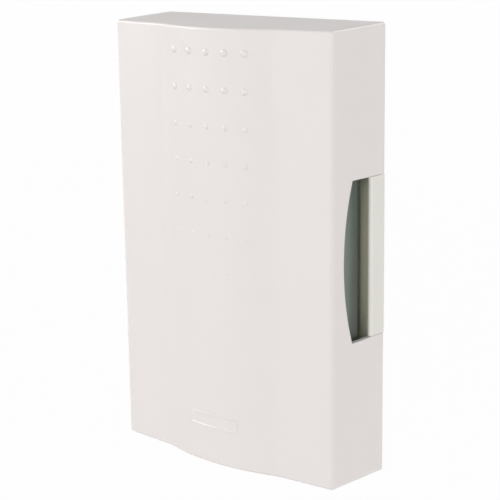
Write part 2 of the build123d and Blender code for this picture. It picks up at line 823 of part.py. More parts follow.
def terminal_screws():
    """Four clamp screws, turned each its own way as a hand leaves them."""
    turns = iter((25, 110, 70, 155))
    screws = []
    for sign in (-1, 1):
        for up in (-1, 1):
            seat = clamp_back_depth(up) + washer_thickness
            z = block_centre_z + up * terminal_pitch / 2
            screws.append(pan_screw(terminal_screw_length, seat, sign * bay_centre_x, z, next(turns)))
    return group_of(screws)


def lead_route(sign):
    """Corner points of one coil lead, from its tag down to its terminal."""
    tag_x, tag_depth, tag_low = tag_places()[1]
    start_z = tag_low - lead_stub
    block_top = block_centre_z + block_height / 2
    comb_z = -comb_height_from_axis
    lie = plate_front_depth + lead_core_radius
    points = [
        (tag_x, tag_depth, start_z),
        (tag_x, tag_depth, start_z - 2 * lead_stub),
        (lead_x(), lead_rest_depth, comb_z + 2 * comb_width),
        (lead_x(), lead_rest_depth, comb_z - 2 * comb_width),
        (lead_x(), lie, block_top + 3 * lead_stub),
        (lead_x(), lie, block_top + lead_radius),
    ]
    return [Vector(sign * x, -depth, z) for x, depth, z in points]


def corner_radii(points):
    """The largest arc that the two runs at each corner leave room for."""
    radii = []
    for a, b, c in zip(points, points[1:], points[2:]):
        half_turn = radians((b - a).get_angle(c - b)) / 2
        radii.append(lead_run_share * min((b - a).length, (c - b).length) / tan(half_turn))
    return radii


def coil_lead(side):
    """One insulated lead, on straight runs joined by arcs."""
    points = lead_route(sides[side])
    radii = corner_radii(points)
    path = FilletPolyline(*points, radius=radii)
    print("lead", side, "length", round(path.length, 1), "radii", [round(r, 1) for r in radii])
    section = Plane(origin=points[0], z_dir=points[1] - points[0]) * Circle(lead_radius)
    lead = sweep(section, path=path.wire())
    print("  volume over section times length", round(lead.volume / (pi * lead_radius**2 * path.length), 4))
    return lead


def lead_bare_ends():
    """The stripped ends of the leads: at the tags, and under the upper clamp washers."""
    ends = []
    top = block_centre_z + block_height / 2 + lead_radius
    bottom = block_centre_z
    for x, depth, low in tag_places():
        ends.append(Pos(x, -depth, low - lead_stub / 2) * Cylinder(lead_core_radius, lead_stub))
        sign = 1 if x > 0 else -1
        place = Pos(sign * lead_x(), -(plate_front_depth + lead_core_radius), (top + bottom) / 2)
        ends.append(place * Cylinder(lead_core_radius, top - bottom))
    return group_of(ends)


def save(shape, name):
    export_step(shape, f"parts/{name}.step")


def main():
    os.makedirs("parts", exist_ok=True)
    save(front_cover(), "front_cover")
    save(base_plate(), "base_plate")
    for side in sides:
        save(chime_bar(side), f"chime_bar_{side}")
        save(bar_grommets(side), f"bar_grommets_{side}")
        save(coil_lead(side), f"coil_lead_{side}")
    save(peg_nuts(), "peg_nuts")
    save(coil_bobbin(), "coil_bobbin")
    save(coil_winding(), "coil_winding")
    save(coil_tape(), "coil_tape")
    save(coil_tags(), "coil_tags")
    save(coil_yoke(), "coil_yoke")
    save(yoke_strap(), "yoke_strap")
    save(guide_tube(), "guide_tube")
    spread, seat = yoke_screw_spread / 2, yoke_back_depth + yoke_sheet
    places = ((spread, 40), (-spread, 100))
    save(group_of([pan_screw(yoke_screw_length, seat, 0, z, turn) for z, turn in places]), "yoke_screws")
    save(plunger_core(), "plunger_core")
    save(striker(right_tip_x, core_right_x), "striker_right")
    save(striker(left_tip_x, core_left_x), "striker_left")
    save(spring_clip(), "spring_clip")
    save(return_spring(), "return_spring")
    save(terminal_block(), "terminal_block")
    save(terminal_plates(), "terminal_plates")
    save(terminal_washers(), "terminal_washers")
    save(terminal_screws(), "terminal_screws")
    seat = block_front_depth - plate_thickness
    save(pan_screw(block_screw_length, seat, 0, block_centre_z, block_screw_turn), "block_screw")
    save(lead_bare_ends(), "lead_bare_ends")


main()
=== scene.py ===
"""A wall-mounted two-tone doorbell chime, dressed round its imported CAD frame."""

from math import asin, cos, degrees, hypot, pi, radians, sin, sqrt, tan

import bmesh
import bpy
from bpy.props import FloatProperty, FloatVectorProperty, IntProperty, PointerProperty
from mathutils import Matrix, Vector


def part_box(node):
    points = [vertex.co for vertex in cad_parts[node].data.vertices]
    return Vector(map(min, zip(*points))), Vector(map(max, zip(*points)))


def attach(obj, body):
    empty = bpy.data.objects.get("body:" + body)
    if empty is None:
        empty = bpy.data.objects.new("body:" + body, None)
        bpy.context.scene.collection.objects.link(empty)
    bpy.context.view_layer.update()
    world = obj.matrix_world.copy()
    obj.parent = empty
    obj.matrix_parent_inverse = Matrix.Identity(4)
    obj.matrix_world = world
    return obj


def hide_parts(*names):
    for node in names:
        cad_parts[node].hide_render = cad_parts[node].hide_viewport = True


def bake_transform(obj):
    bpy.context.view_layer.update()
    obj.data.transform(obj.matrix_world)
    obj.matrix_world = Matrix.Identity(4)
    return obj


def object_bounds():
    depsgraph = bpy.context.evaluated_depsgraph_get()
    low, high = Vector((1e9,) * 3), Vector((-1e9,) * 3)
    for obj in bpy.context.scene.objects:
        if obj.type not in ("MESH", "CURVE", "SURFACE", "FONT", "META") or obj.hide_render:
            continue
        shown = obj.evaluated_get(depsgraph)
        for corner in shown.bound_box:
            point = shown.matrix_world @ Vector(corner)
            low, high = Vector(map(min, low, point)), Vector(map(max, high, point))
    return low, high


bl_info = {
    "name": "Doorbell chime box",
    "version": (1, 0, 0),
    "blender": (4, 5, 0),
    "location": "3D View > Sidebar > Chime",
    "description": "Makes a two-tone doorbell chime with its cover, bars, coil and terminals",
    "category": "Object",
}

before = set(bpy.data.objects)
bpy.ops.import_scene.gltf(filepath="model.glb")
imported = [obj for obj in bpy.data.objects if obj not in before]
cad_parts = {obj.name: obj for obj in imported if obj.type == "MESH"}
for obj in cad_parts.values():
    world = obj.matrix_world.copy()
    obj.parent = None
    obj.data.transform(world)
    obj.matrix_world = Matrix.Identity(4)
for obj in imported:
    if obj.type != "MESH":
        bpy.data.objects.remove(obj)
CAD_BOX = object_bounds()
MM = 0.001


def length(name, default, description):
    """A size that a user can change, its default given in millimetres."""
    return FloatProperty(name=name, description=description, default=default * MM, unit="LENGTH", precision=5)


def angle(name, default, description):
    return FloatProperty(name=name, description=description, default=radians(default), unit="ROTATION")


def colour(name, default, description):
    return FloatVectorProperty(
        name=name, description=description, default=default, size=3, min=0.0, max=1.0, subtype="COLOR_GAMMA"
    )


class CoverSettings(bpy.types.PropertyGroup):
    """Sizes of the front cover"""

    width: length("Width", 118, "Width at the wall")
    height: length("Height", 190, "Height at the wall")
    corner_depth: length("Corner depth", 34.3, "Depth at the front corners")
    shoulder_rise: length("Shoulder rise", 2.3, "Rise of each shoulder from the corner to the crown")
    crown_rise: length("Crown rise", 5.2, "Rise of the crown over the shoulders")
    crown_width: length("Crown width", 60, "Width of the crown")
    blend_radius: length("Blend radius", 25, "Radius between a shoulder and the crown")
    draft: angle("Draft", 2.1, "Lean of the side walls")
    wall: length("Wall", 2.2, "Thickness of the moulding")
    back_gap: length("Back gap", 0.3, "Clearance between the rear rim and the wall")
    edge_radius: length("Edge radius", 1.15, "Rounding round the front")
    corner_radius: length("Corner radius", 1.2, "Rounding of the four long corners")
    opening_height: length("Opening height", 67.4, "Height of each sound opening")
    opening_depth: length("Opening depth", 21, "How far an opening's corners are from the wall")
    opening_bow: length("Opening bow", 5.6, "How far an opening's front edge bows")
    opening_edge: length("Opening edge", 0.5, "Rounding of an opening's edge")


class DotSettings(bpy.types.PropertyGroup):
    """The field of raised dots on the crown"""

    columns: IntProperty(name="Columns", description="Dots across", default=5, min=1)
    rows: IntProperty(name="Rows", description="Dots down", default=7, min=1)
    pitch_x: length("Pitch across", 9.45, "Spacing of the columns")
    pitch_z: length("Pitch down", 15.19, "Spacing of the rows")
    top_margin: length("Top margin", 11.5, "From the top of the case to the first row")
    centre_x: length("Centre across", -0.6, "Place of the middle column")
    first_radius: length("First radius", 1.62, "Radius of the top row's dots")
    last_radius: length("Last radius", 0.58, "Radius of the bottom row's dots")
    first_relief: length("First relief", 0.79, "Height of the top row's dots")
    last_relief: length("Last relief", 0.15, "Height of the bottom row's dots")


class InsideSettings(bpy.types.PropertyGroup):
    """The wound and repeated pieces inside"""

    spring_wire: length("Spring wire", 0.25, "Radius of the return spring's wire")
    spring_turns: IntProperty(name="Spring turns", description="Turns with the closed ends", default=8, min=3)
    winding_wire: length("Winding wire", 0.16, "Radius of the coil's wire")
    screw_head: length("Screw head", 2.7, "Radius of a screw's head")
    screw_shank: length("Screw shank", 1.25, "Radius of a screw's shank")
    washer_side: length("Washer side", 6.6, "Side of a square clamp washer")
    sleeve_radius: length("Sleeve radius", 0.7, "Radius of a lead's insulation")
    bare_radius: length("Bare radius", 0.45, "Radius of a lead's bare end")


class FinishSettings(bpy.types.PropertyGroup):
    """Colours of the main finishes"""

    cover: colour("Cover", (0.905, 0.882, 0.872), "Moulded cover")
    base: colour("Base", (0.905, 0.894, 0.868), "Moulded base")
    bar: colour("Bars", (0.548, 0.587, 0.56), "Plated chime bars")
    sleeve: colour("Leads", (0.55, 0.1, 0.09), "Insulation of the coil's leads")


class StageSettings(bpy.types.PropertyGroup):
    """Camera and studio"""

    azimuth: angle("Azimuth", 39.97, "Camera's turn to the right of the front")
    elevation: angle("Elevation", 13.395, "Camera's height above the level")
    roll: angle("Roll", -0.824, "Camera's lean")
    distance: length("Distance", 638.7, "Camera's distance from the case")
    aim_x: length("Aim across", -10.1, "Camera's sideways offset")
    aim_y: length("Aim up", -6.48, "Camera's upward offset")
    lens: FloatProperty(name="Lens", description="Focal length", default=105.0, unit="CAMERA")
    world: FloatProperty(
        name="World", description="Light from all round", default=0.2, min=0.0, max=1.0, subtype="FACTOR"
    )
    floor_drop: length("Floor drop", 60, "Gap between the case and the floor")


def settings(kind):
    return getattr(bpy.context.scene, "chime_" + kind)


# Node trees


class Tree:
    """Adds nodes to a node tree, with each input set to a value or linked to a socket."""

    def __init__(self, tree):
        self.nodes, self.links = tree.nodes, tree.links

    def add(self, kind, inputs=(), **attributes):
        """The outputs of a new node, after its attributes are set and its inputs fed by name or place."""
        node = self.nodes.new(kind)
        for name, value in attributes.items():
            setattr(node, name, value)
        self.feed(node, inputs)
        return node.outputs

    def feed(self, node, inputs):
        for name, value in dict(inputs).items():
            if isinstance(value, bpy.types.NodeSocket):
                self.links.new(value, node.inputs[name])
            else:
                node.inputs[name].default_value = value

    def math(self, operation, *values):
        return self.add("ShaderNodeMath", enumerate(values), operation=operation)[0]

    def vector(self, *values):
        return self.add("ShaderNodeCombineXYZ", enumerate(values))[0]

    def axes(self, vector):
        return self.add("ShaderNodeSeparateXYZ", {0: vector})

    def place(self):
        """X, Y and Z of the points that a Geometry Nodes tree works on."""
        return self.axes(self.add("GeometryNodeInputPosition")[0])

    def noise(self, vector, **inputs):
        return self.add("ShaderNodeTexNoise", {"Vector": vector, **inputs})["Fac"]

    def ranged(self, value, low, high, side="To"):
        """A value mapped by a Map Range node, whose other side runs from 0 to 1."""
        limits = {"Value": value, side + " Min": low, side + " Max": high}
        return self.add("ShaderNodeMapRange", limits)["Result"]

    def times(self, colour, other, factor=1.0):
        """A colour multiplied by another, through the colour sockets of a Mix node."""
        sockets = {0: factor, 6: colour, 7: other}
        return self.add("ShaderNodeMix", sockets, data_type="RGBA", blend_type="MULTIPLY")[2]

    def varied(self, colour, change, amount):
        """A colour made lighter and darker by a change times its amount."""
        return self.times(colour, self.math("ADD", self.math("MULTIPLY", change, amount), 1.0))


# The kind of a socket that is given by its default; one that has none is given by its kind
KINDS = {int: "Int", float: "Float", tuple: "Color"}


def new_group(name, tree_kind, inputs, outputs):
    """A node group with named sockets: its Tree, the sockets to read from and its end node."""
    group = bpy.data.node_groups.new(name, tree_kind)
    for in_out, sockets in (("INPUT", inputs), ("OUTPUT", outputs)):
        for socket, value in sockets.items():
            kind = KINDS.get(type(value), value)
            made = group.interface.new_socket(socket, in_out=in_out, socket_type="NodeSocket" + kind)
            if kind != value:
                made.default_value = value
    start, end = (group.nodes.new("NodeGroup" + side) for side in ("Input", "Output"))
    return Tree(group), start.outputs, end


# Shading

SKIN_OUTPUTS = {"Colour": "Color", "Roughness": "Float", "Height": "Float"}
# Where the inside of the tray begins and is full: what lies there takes a painted olive shade, which stands in for
# the shade and bounced light inside the tray
PAINTED_SHADE_LIMITS = {"X": (56.5 * MM, 56.1 * MM), "Y": (0.5 * MM, 1.5 * MM), "Z": (92.4 * MM, 92.0 * MM)}
TRAY_PAINTED_SHADE = (0.91, 0.935, 0.79, 1)


def moulded_skin():
    """Fine grain, slow mottling and a small change of gloss on moulded plastic or rubber, with a painted olive shade
    on the inside of the tray.
    """
    inputs = {
        "Coordinates": "Vector",
        "Colour": (0.8, 0.8, 0.8, 1),
        "Roughness": 0.4,
        "Grain scale": 1500.0,
        "Mottle": 0.02,
        "Inside tint": (1, 1, 1, 1),
    }
    gloss_change = 0.16
    tree, get, end = new_group("moulded_skin", "ShaderNodeTree", inputs, SKIN_OUTPUTS)
    grain = tree.noise(get["Coordinates"], Scale=get["Grain scale"], Detail=3.0, Roughness=0.55)
    flow = tree.noise(get["Coordinates"], Scale=32.0, Detail=2.0, Distortion=0.4)
    change = tree.math("SUBTRACT", flow, 0.5)
    colour_out = tree.varied(get["Colour"], change, get["Mottle"])
    # Painted shade: the colour inside the tray is multiplied by the tint, which stands in for shade and bounced
    # light
    place = tree.add("ShaderNodeVectorMath", {0: get["Coordinates"]}, operation="ABSOLUTE")["Vector"]
    axes, inside = tree.axes(place), 1.0
    for axis, (begins, full) in PAINTED_SHADE_LIMITS.items():
        inside = tree.math("MULTIPLY", inside, tree.ranged(axes[axis], begins, full, "From"))
    results = {
        "Colour": tree.times(colour_out, get["Inside tint"], inside),
        "Roughness": tree.math("ADD", get["Roughness"], tree.math("MULTIPLY", change, gloss_change)),
        "Height": grain,
    }
    tree.feed(end, results)


def drawn_metal():
    """Rolling or turning lines, slow tarnish and a changing gloss on metal."""
    inputs = {
        "Coordinates": "Vector",
        "Colour": (0.6, 0.6, 0.6, 1),
        "Roughness": 0.35,
        "Line scale": 300.0,
        "Tarnish": 0.15,
    }
    streak, gloss_change = 0.55, 0.1
    tree, get, end = new_group("drawn_metal", "ShaderNodeTree", inputs, SKIN_OUTPUTS)
    lines = tree.noise(get["Coordinates"], Scale=get["Line scale"], Detail=4.0, Roughness=0.65)
    cloud = tree.noise(get["Coordinates"], Scale=110.0, Detail=4.0, Distortion=0.6)
    change = tree.math("ADD", tree.math("SUBTRACT", cloud, 0.5), tree.ranged(lines, -streak, streak))
    results = {
        "Colour": tree.varied(get["Colour"], change, get["Tarnish"]),
        "Roughness": tree.math("ADD", get["Roughness"], tree.ranged(lines, -gloss_change, gloss_change)),
        "Height": lines,
    }
    tree.feed(end, results)


def linear(rgb):
    """A colour written as it looks, as the shader wants it."""
    return tuple(c / 12.92 if c <= 0.04045 else ((c + 0.055) / 1.055) ** 2.4 for c in rgb) + (1.0,)


# Plastics: colour or the setting that holds it, roughness, grain scale, mottle, bump depth
PLASTICS = {
    "cover_white": ("cover", 0.36, 1300, 0.012, 0.006 * MM),
    "base_white": ("base", 0.42, 1300, 0.015, 0.006 * MM),
    "lead_sleeve": ("sleeve", 0.35, 1500, 0.05, 0.006 * MM),
    "grommet_rubber": ((0.1, 0.1, 0.1), 0.62, 2400, 0.25, 0.03 * MM),
    "bobbin_nylon": ((0.86, 0.84, 0.77), 0.42, 1800, 0.06, 0.01 * MM),
    "coil_tape": ((0.85, 0.7, 0.26), 0.28, 900, 0.08, 0.015 * MM),
    "striker_nylon": ((0.9, 0.89, 0.85), 0.38, 1800, 0.04, 0.008 * MM),
    "block_plastic": ((0.16, 0.16, 0.17), 0.45, 2200, 0.15, 0.015 * MM),
}
# Metals: colour or its setting, roughness, line scale, stretch along X, Y and Z, tarnish, bump depth
METALS = {
    "bar_steel": ("bar", 0.46, 900, (1, 1, 0.02), 0.35, 0.008 * MM),
    "spring_steel": ((0.66, 0.66, 0.65), 0.28, 500, (1, 1, 1), 0.12, 0.002 * MM),
    "copper_winding": ((0.68, 0.36, 0.2), 0.3, 500, (4, 1, 1), 0.2, 0.002 * MM),
    "tinned_pins": ((0.74, 0.73, 0.7), 0.34, 700, (1, 1, 0.2), 0.14, 0.004 * MM),
    "zinc_steel": ((0.64, 0.645, 0.62), 0.33, 900, (0.04, 1, 1), 0.4, 0.006 * MM),
    "brass_tube": ((0.8, 0.64, 0.32), 0.28, 320, (0.1, 1, 1), 0.18, 0.003 * MM),
    "zinc_screws": ((0.68, 0.67, 0.64), 0.33, 600, (1, 1, 1), 0.18, 0.004 * MM),
    "plunger_steel": ((0.55, 0.55, 0.55), 0.3, 420, (6, 0.4, 0.4), 0.15, 0.003 * MM),
    "terminal_brass": ((0.78, 0.63, 0.34), 0.34, 300, (1, 1, 0.15), 0.2, 0.004 * MM),
}
FINISHES = {}


def finish(name):
    """A new material for one of the record's slots."""
    made = bpy.data.materials.new("chime_" + name)
    made.use_nodes = True
    tree = Tree(made.node_tree)
    shader = tree.nodes["Principled BSDF"]
    place = tree.add("ShaderNodeTexCoord")["Object"]
    if name in PLASTICS:
        rgb, rough, scale, mottle, depth = PLASTICS[name]
        group, inputs = "moulded_skin", {"Grain scale": scale, "Mottle": mottle}
        shader.inputs["IOR"].default_value = 1.49
        if name == "base_white":
            # The inside of the tray takes the painted olive shade
            inputs["Inside tint"] = TRAY_PAINTED_SHADE
    else:
        rgb, rough, scale, stretch, tarnish, depth = METALS[name]
        group, inputs = "drawn_metal", {"Line scale": scale, "Tarnish": tarnish}
        place = tree.add("ShaderNodeMapping", {"Vector": place, "Scale": stretch})["Vector"]
        shader.inputs["Metallic"].default_value = 0.7 if name == "bar_steel" else 1.0
    if isinstance(rgb, str):
        rgb = getattr(settings("finish"), rgb)
    inputs.update({"Colour": linear(rgb), "Roughness": rough, "Coordinates": place})
    skin = tree.add("ShaderNodeGroup", inputs, node_tree=bpy.data.node_groups[group])
    normal = tree.add("ShaderNodeBump", {"Strength": 1.0, "Distance": depth, "Height": skin["Height"]})["Normal"]
    tree.feed(shader, {"Base Color": skin["Colour"], "Roughness": skin["Roughness"], "Normal": normal})
    return made


def dressed(name):
    """The material of a slot, made the first time it is asked for."""
    if name not in FINISHES:
        FINISHES[name] = finish(name)
    return FINISHES[name]


# Meshes


def link_object(name, mesh):
    made = bpy.data.objects.new(name, mesh)
    bpy.context.scene.collection.objects.link(made)
    return made


def mesh_from(verts, faces):
    made = bpy.data.meshes.new("shape")
    made.from_pydata([tuple(v) for v in verts], [], faces)
    made.validate()
    return made


class Edited:
    """A mesh's points, edges and faces, open for bmesh steps."""

    def __init__(self, mesh):
        self.mesh, self.shape = mesh, bmesh.new()
        self.shape.from_mesh(mesh)

    def __enter__(self):
        return self.shape

    def __exit__(self, *trouble):
        self.shape.to_mesh(self.mesh)
        self.shape.free()


def merged(shape, near, thin=False):
    """Merges doubled points, and drops what is then too thin if asked to."""
    bmesh.ops.remove_doubles(shape, verts=shape.verts, dist=near)
    if thin:
        bmesh.ops.dissolve_degenerate(shape, edges=shape.edges, dist=near)


def faced_out(shape):
    bmesh.ops.recalc_face_normals(shape, faces=shape.faces)


def solid(name, verts, faces, near=0.0, thin=False):
    """A closed shape whose faces point outward, its points merged first if a distance is given."""
    mesh = mesh_from(verts, faces)
    with Edited(mesh) as shape:
        if near:
            merged(shape, near, thin)
        faced_out(shape)
    return link_object(name, mesh)


def plain_mesh(thing):
    """The object's mesh with its modifiers worked in, and the object with none left."""
    bpy.context.view_layer.update()
    depsgraph = bpy.context.evaluated_depsgraph_get()
    made = bpy.data.meshes.new_from_object(thing.evaluated_get(depsgraph), depsgraph=depsgraph)
    if thing.type == "MESH":
        thing.modifiers.clear()
        thing.data = made
        return thing
    name = thing.name
    bpy.data.objects.remove(thing)
    return link_object(name, made)


def softened(thing, bevel=0.0, segments=2, limit=35):
    """Rounds a piece's sharp edges and gives it clean normals."""
    if bevel:
        round_ = thing.modifiers.new("round", "BEVEL")
        round_.width, round_.segments = bevel, segments
        round_.limit_method, round_.angle_limit = "ANGLE", radians(limit)
        plain_mesh(thing)
    thing.data.shade_smooth()
    thing.data.set_sharp_from_angle(angle=radians(limit))
    even = thing.modifiers.new("even", "WEIGHTED_NORMAL")
    even.keep_sharp, even.weight = True, 80
    return plain_mesh(thing)


def placed(thing, body, slot_name, *nodes):
    """Gives a finished piece its material, its body, if it has one, and the CAD nodes it stands for."""
    thing.data.materials.clear()
    thing.data.materials.append(dressed(slot_name))
    if body:
        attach(thing, body)
    if nodes:
        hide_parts(*nodes)


def made_whole(mesh, near):
    """Merges a mesh's doubled points and makes its flat faces whole."""
    with Edited(mesh) as shape:
        merged(shape, near, thin=True)
        bmesh.ops.dissolve_limit(shape, angle_limit=radians(0.5), verts=shape.verts, edges=shape.edges)


def copy_of(node, name):
    """A merged copy of a CAD node's mesh, with its flat faces made whole."""
    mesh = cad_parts[node].data.copy()
    made_whole(mesh, 1e-6)
    mesh.materials.clear()
    if "custom_normal" in mesh.attributes:
        mesh.attributes.remove(mesh.attributes["custom_normal"])
    return link_object(name, mesh)


def boxes_object(*boxes):
    """Closed boxes, each between two corners, as one object."""
    around = (0, 2, 3, 1), (4, 5, 7, 6), (0, 1, 5, 4), (2, 6, 7, 3), (0, 4, 6, 2), (1, 3, 7, 5)
    verts, faces = [], []
    for low, high in boxes:
        faces += [tuple(len(verts) + i for i in face) for face in around]
        xs, ys, zs = zip(low, high)
        verts += [(x, y, z) for z in zs for y in ys for x in xs]
    return link_object("cutter", mesh_from(verts, faces))


def prism(name, outline, low, high, axis):
    """A closed bar of one outline, between two places along X or Z."""
    count = len(outline)
    verts = [(t, a, b) if axis == "X" else (a, b, t) for t in (low, high) for a, b in outline]
    faces = [tuple(range(count)), tuple(reversed(range(count, 2 * count)))]
    faces += [(i, count + i, count + (i + 1) % count, (i + 1) % count) for i in range(count)]
    return solid(name, verts, faces)


def ring_faces(rings, size):
    """Faces that join each ring of points to the next."""
    faces = []
    for a in range(0, (rings - 1) * size, size):
        b = a + size
        faces += [(a + i, a + (i + 1) % size, b + (i + 1) % size, b + i) for i in range(size)]
    return faces


def arc_points(centre, radius, start, stop, steps):
    """Points of an arc from one angle in degrees to another."""
    turns = [radians(start + (stop - start) * i / steps) for i in range(steps + 1)]
    return [(centre[0] + radius * cos(t), centre[1] + radius * sin(t)) for t in turns]


def corner_arcs(x, z, radius, steps):
    """The four rounded corners of an upright rectangle, with their centres at plus and minus x and z."""
    corners = ((1, 1, 0), (-1, 1, 90), (-1, -1, 180), (1, -1, 270))
    return [arc_points((a * x, b * z), radius, turn, turn + 90, steps) for a, b, turn in corners]


def combined(target, other, operation):
    """Works another closed shape into the target, and deletes the other."""
    step = target.modifiers.new(operation, "BOOLEAN")
    step.operation, step.object, step.solver = operation, other, "EXACT"
    plain_mesh(target)
    bpy.data.objects.remove(other)


# Front cover

# Steps round each long corner of the cover and round its front edge
ARC_STEPS = 8
EDGE_STEPS = 8


def side_x(s, depth):
    """How far the cover's side is from the middle, at a depth."""
    return s.width / 2 - depth * tan(s.draft)


def end_z(s, depth):
    return s.height / 2 - depth * tan(s.draft)


class Crown:
    """The front's profile across the case: shoulders, blends and the crown."""

    def __init__(self, s):
        corner = Vector((side_x(s, s.corner_depth), s.corner_depth))
        foot = Vector((s.crown_width / 2, s.corner_depth + s.shoulder_rise))
        self.radius = (foot.x**2 + s.crown_rise**2) / (2 * s.crown_rise)
        self.centre = Vector((0, foot.y + s.crown_rise - self.radius))
        along = (corner - foot).normalized()
        out = Vector((-along.y, along.x))
        self.blend = s.blend_radius
        start = foot + out * self.blend - self.centre
        reach = self.radius + self.blend
        slide = -start.dot(along) + sqrt(start.dot(along) ** 2 - start.length_squared + reach**2)
        self.blend_centre = foot + along * slide + out * self.blend
        self.shoulder_start = foot + along * slide
        self.crown_end = self.centre + (self.blend_centre - self.centre) * (self.radius / reach)
        self.corner, self.along = corner, along

    def depth(self, x):
        x = abs(x)
        if x <= self.crown_end.x:
            return self.centre.y + sqrt(self.radius**2 - x**2)
        if x < self.shoulder_start.x:
            return self.blend_centre.y - sqrt(self.blend**2 - (x - self.blend_centre.x) ** 2)
        return self.corner.y + (x - self.corner.x) * self.along.y / self.along.x

    def slope(self, x):
        step = 0.01 * MM
        return (self.depth(x + step) - self.depth(x - step)) / (2 * step)

    def samples(self, steps_crown=44, steps_blend=14):
        """X places from left to right, closer where the profile turns."""
        edge = asin(self.crown_end.x / self.radius)
        crown = [self.radius * sin(edge * i / steps_crown) for i in range(-steps_crown, steps_crown + 1)]
        run = self.shoulder_start.x - self.crown_end.x
        blend = [self.crown_end.x + run * (i + 1) / steps_blend for i in range(steps_blend)]
        return [-x for x in reversed(blend)] + crown + blend


def shell_rings(s, crown, inset, corner_radius, edge_radius, rim_round):
    """Rings of points from the rear rim to the front, for a skin set in from the outside."""
    lean, back, xs = s.draft, s.back_gap, crown.samples()
    lateral = inset / cos(lean)

    def front(x):
        return crown.depth(x) - inset * hypot(1, crown.slope(x))

    def ring(depth_of, pull):
        """One ring: depth_of gives the depth at an x, pull the inward distance from the wall."""
        reference = depth_of(side_x(s, s.corner_depth))
        cx = side_x(s, reference) - lateral - corner_radius
        cz = end_z(s, reference) - lateral - corner_radius
        arcs = corner_arcs(cx, cz, corner_radius - pull, ARC_STEPS)
        arcs = [[(x, -depth_of(x), z) for x, z in arc] for arc in arcs]
        ends = [[(x, -depth_of(x), up * (end_z(s, depth_of(x)) - lateral - pull)) for x in xs] for up in (1, -1)]
        return arcs[0] + ends[0][::-1] + arcs[1] + arcs[2] + ends[1] + arcs[3]

    rings = [ring(lambda x: back, rim_round)]
    if rim_round:
        rings.append(ring(lambda x: back + rim_round, 0.0))
    for i in range(EDGE_STEPS + 1):
        turn = lean + (pi / 2 - lean) * i / EDGE_STEPS
        pull = edge_radius / cos(lean) - edge_radius * cos(turn)
        rings.append(ring(lambda x, turn=turn: front(x) - edge_radius * (1 - sin(turn)), pull))
    return rings


def cap_front(verts, faces, start, size, flip):
    """Closes a shell's front with long strips and four corner fans."""
    corner, parts = ARC_STEPS + 1, []
    across = size // 2 - 2 * corner
    for count in (corner, across, corner, corner, across, corner):
        parts.append(list(range(start, start + count)))
        start += count
    right_top, top, left_top, left_low, low, right_low = parts
    top_run = [right_top[-1]] + top + [left_top[0]]
    low_run = [right_low[0]] + low[::-1] + [left_low[-1]]

    def inner_row(run, z):
        made = range(len(verts), len(verts) + len(run))
        verts.extend([(verts[i][0], verts[i][1], z) for i in run])
        return made

    inward = 1.0 * MM
    upper = inner_row(top_run, min(verts[i][2] for i in top_run) - inward)
    lower = inner_row(low_run, max(verts[i][2] for i in low_run) + inward)
    made = []
    for a, b in ((top_run, upper), (upper, lower), (lower, low_run)):
        made += [(a[i], a[i + 1], b[i + 1], b[i]) for i in range(len(a) - 1)]
    made.append((right_top[0], upper[0], lower[0], right_low[-1]))
    made.append((upper[-1], left_top[-1], left_low[0], lower[-1]))
    for centre, arc in ((upper[0], right_top), (upper[-1], left_top), (lower[-1], left_low), (lower[0], right_low)):
        made += [(centre, arc[i], arc[i + 1]) for i in range(ARC_STEPS)]
    faces += [tuple(reversed(f)) if flip else f for f in made]


def cover_shell(s):
    """The cover's moulding as one closed skin: outside, rear rim and inside."""
    crown, inner_round, rim_round = Crown(s), 0.3 * MM, 0.15 * MM
    outside = shell_rings(s, crown, 0.0, s.corner_radius, s.edge_radius, rim_round)
    inside = shell_rings(s, crown, s.wall, inner_round, inner_round, 0.0)
    rings = inside[::-1] + outside
    verts, size = sum(rings, []), len(rings[0])
    faces = ring_faces(len(rings), size)
    cap_front(verts, faces, (len(rings) - 1) * size, size, False)
    cap_front(verts, faces, 0, size, True)
    return solid("cover_shell", verts, faces, 1e-7)


def opening_cutter(s):
    """The D shape of the two sound openings, as one bar through both sides."""
    half, bow, behind = s.opening_height / 2, s.opening_bow, 10 * MM
    radius = (half**2 + bow**2) / (2 * bow)
    sweep = degrees(asin(half / radius))
    centre = (radius - s.opening_depth - bow, 0.0)
    outline = [(behind, -half), (behind, half)] + arc_points(centre, radius, 180 - sweep, 180 + sweep, 48)
    return prism("cutter", outline, -s.width, s.width, "X")


def cover_ribs(s):
    """The depth stops inside the cover, sunk a little into its walls."""
    back, front = 6.1 * MM, 0.86 * s.corner_depth
    reach, half, sink = 2.4 * MM, 0.75 * MM, 0.6 * MM
    side_ribs_z, end_ribs_x = 0.43 * s.height, 32 * MM
    wall = s.wall / cos(s.draft)
    inner_x, inner_z = side_x(s, front) - wall, end_z(s, front) - wall
    boxes = []
    for across in (-1, 1):
        for up in (-1, 1):
            z, x = up * side_ribs_z, across * end_ribs_x
            low, high = sorted((across * (inner_x - reach), across * (inner_x + sink)))
            boxes.append(((low, -front, z - half), (high, -back, z + half)))
            low, high = sorted((up * (inner_z - reach), up * (inner_z + sink)))
            boxes.append(((x - half, -front, low), (x + half, -back, high)))
    return boxes_object(*boxes)


def round_opening_edges(thing, s):
    """Breaks the outer edge of the two openings."""
    near = 0.01 * MM
    half, deepest = s.opening_height / 2 + near, s.opening_depth + s.opening_bow + near

    def at_opening(v):
        on_outside = abs(abs(v.co.x) - side_x(s, -v.co.y)) < near
        return on_outside and abs(v.co.z) < half and -v.co.y < deepest

    with Edited(thing.data) as shape:
        edges = [
            e
            for e in shape.edges
            if all(at_opening(v) for v in e.verts)
            and len(e.link_faces) == 2
            and e.calc_face_angle(0) > radians(60)
        ]
        bmesh.ops.bevel(shape, geom=edges, offset=s.opening_edge, segments=3, profile=0.5, affect="EDGES")


# Geometry Nodes


def geometry_group(name, inputs):
    geometry = {"Geometry": "Geometry"}
    return new_group(name, "GeometryNodeTree", {**geometry, **inputs}, geometry)


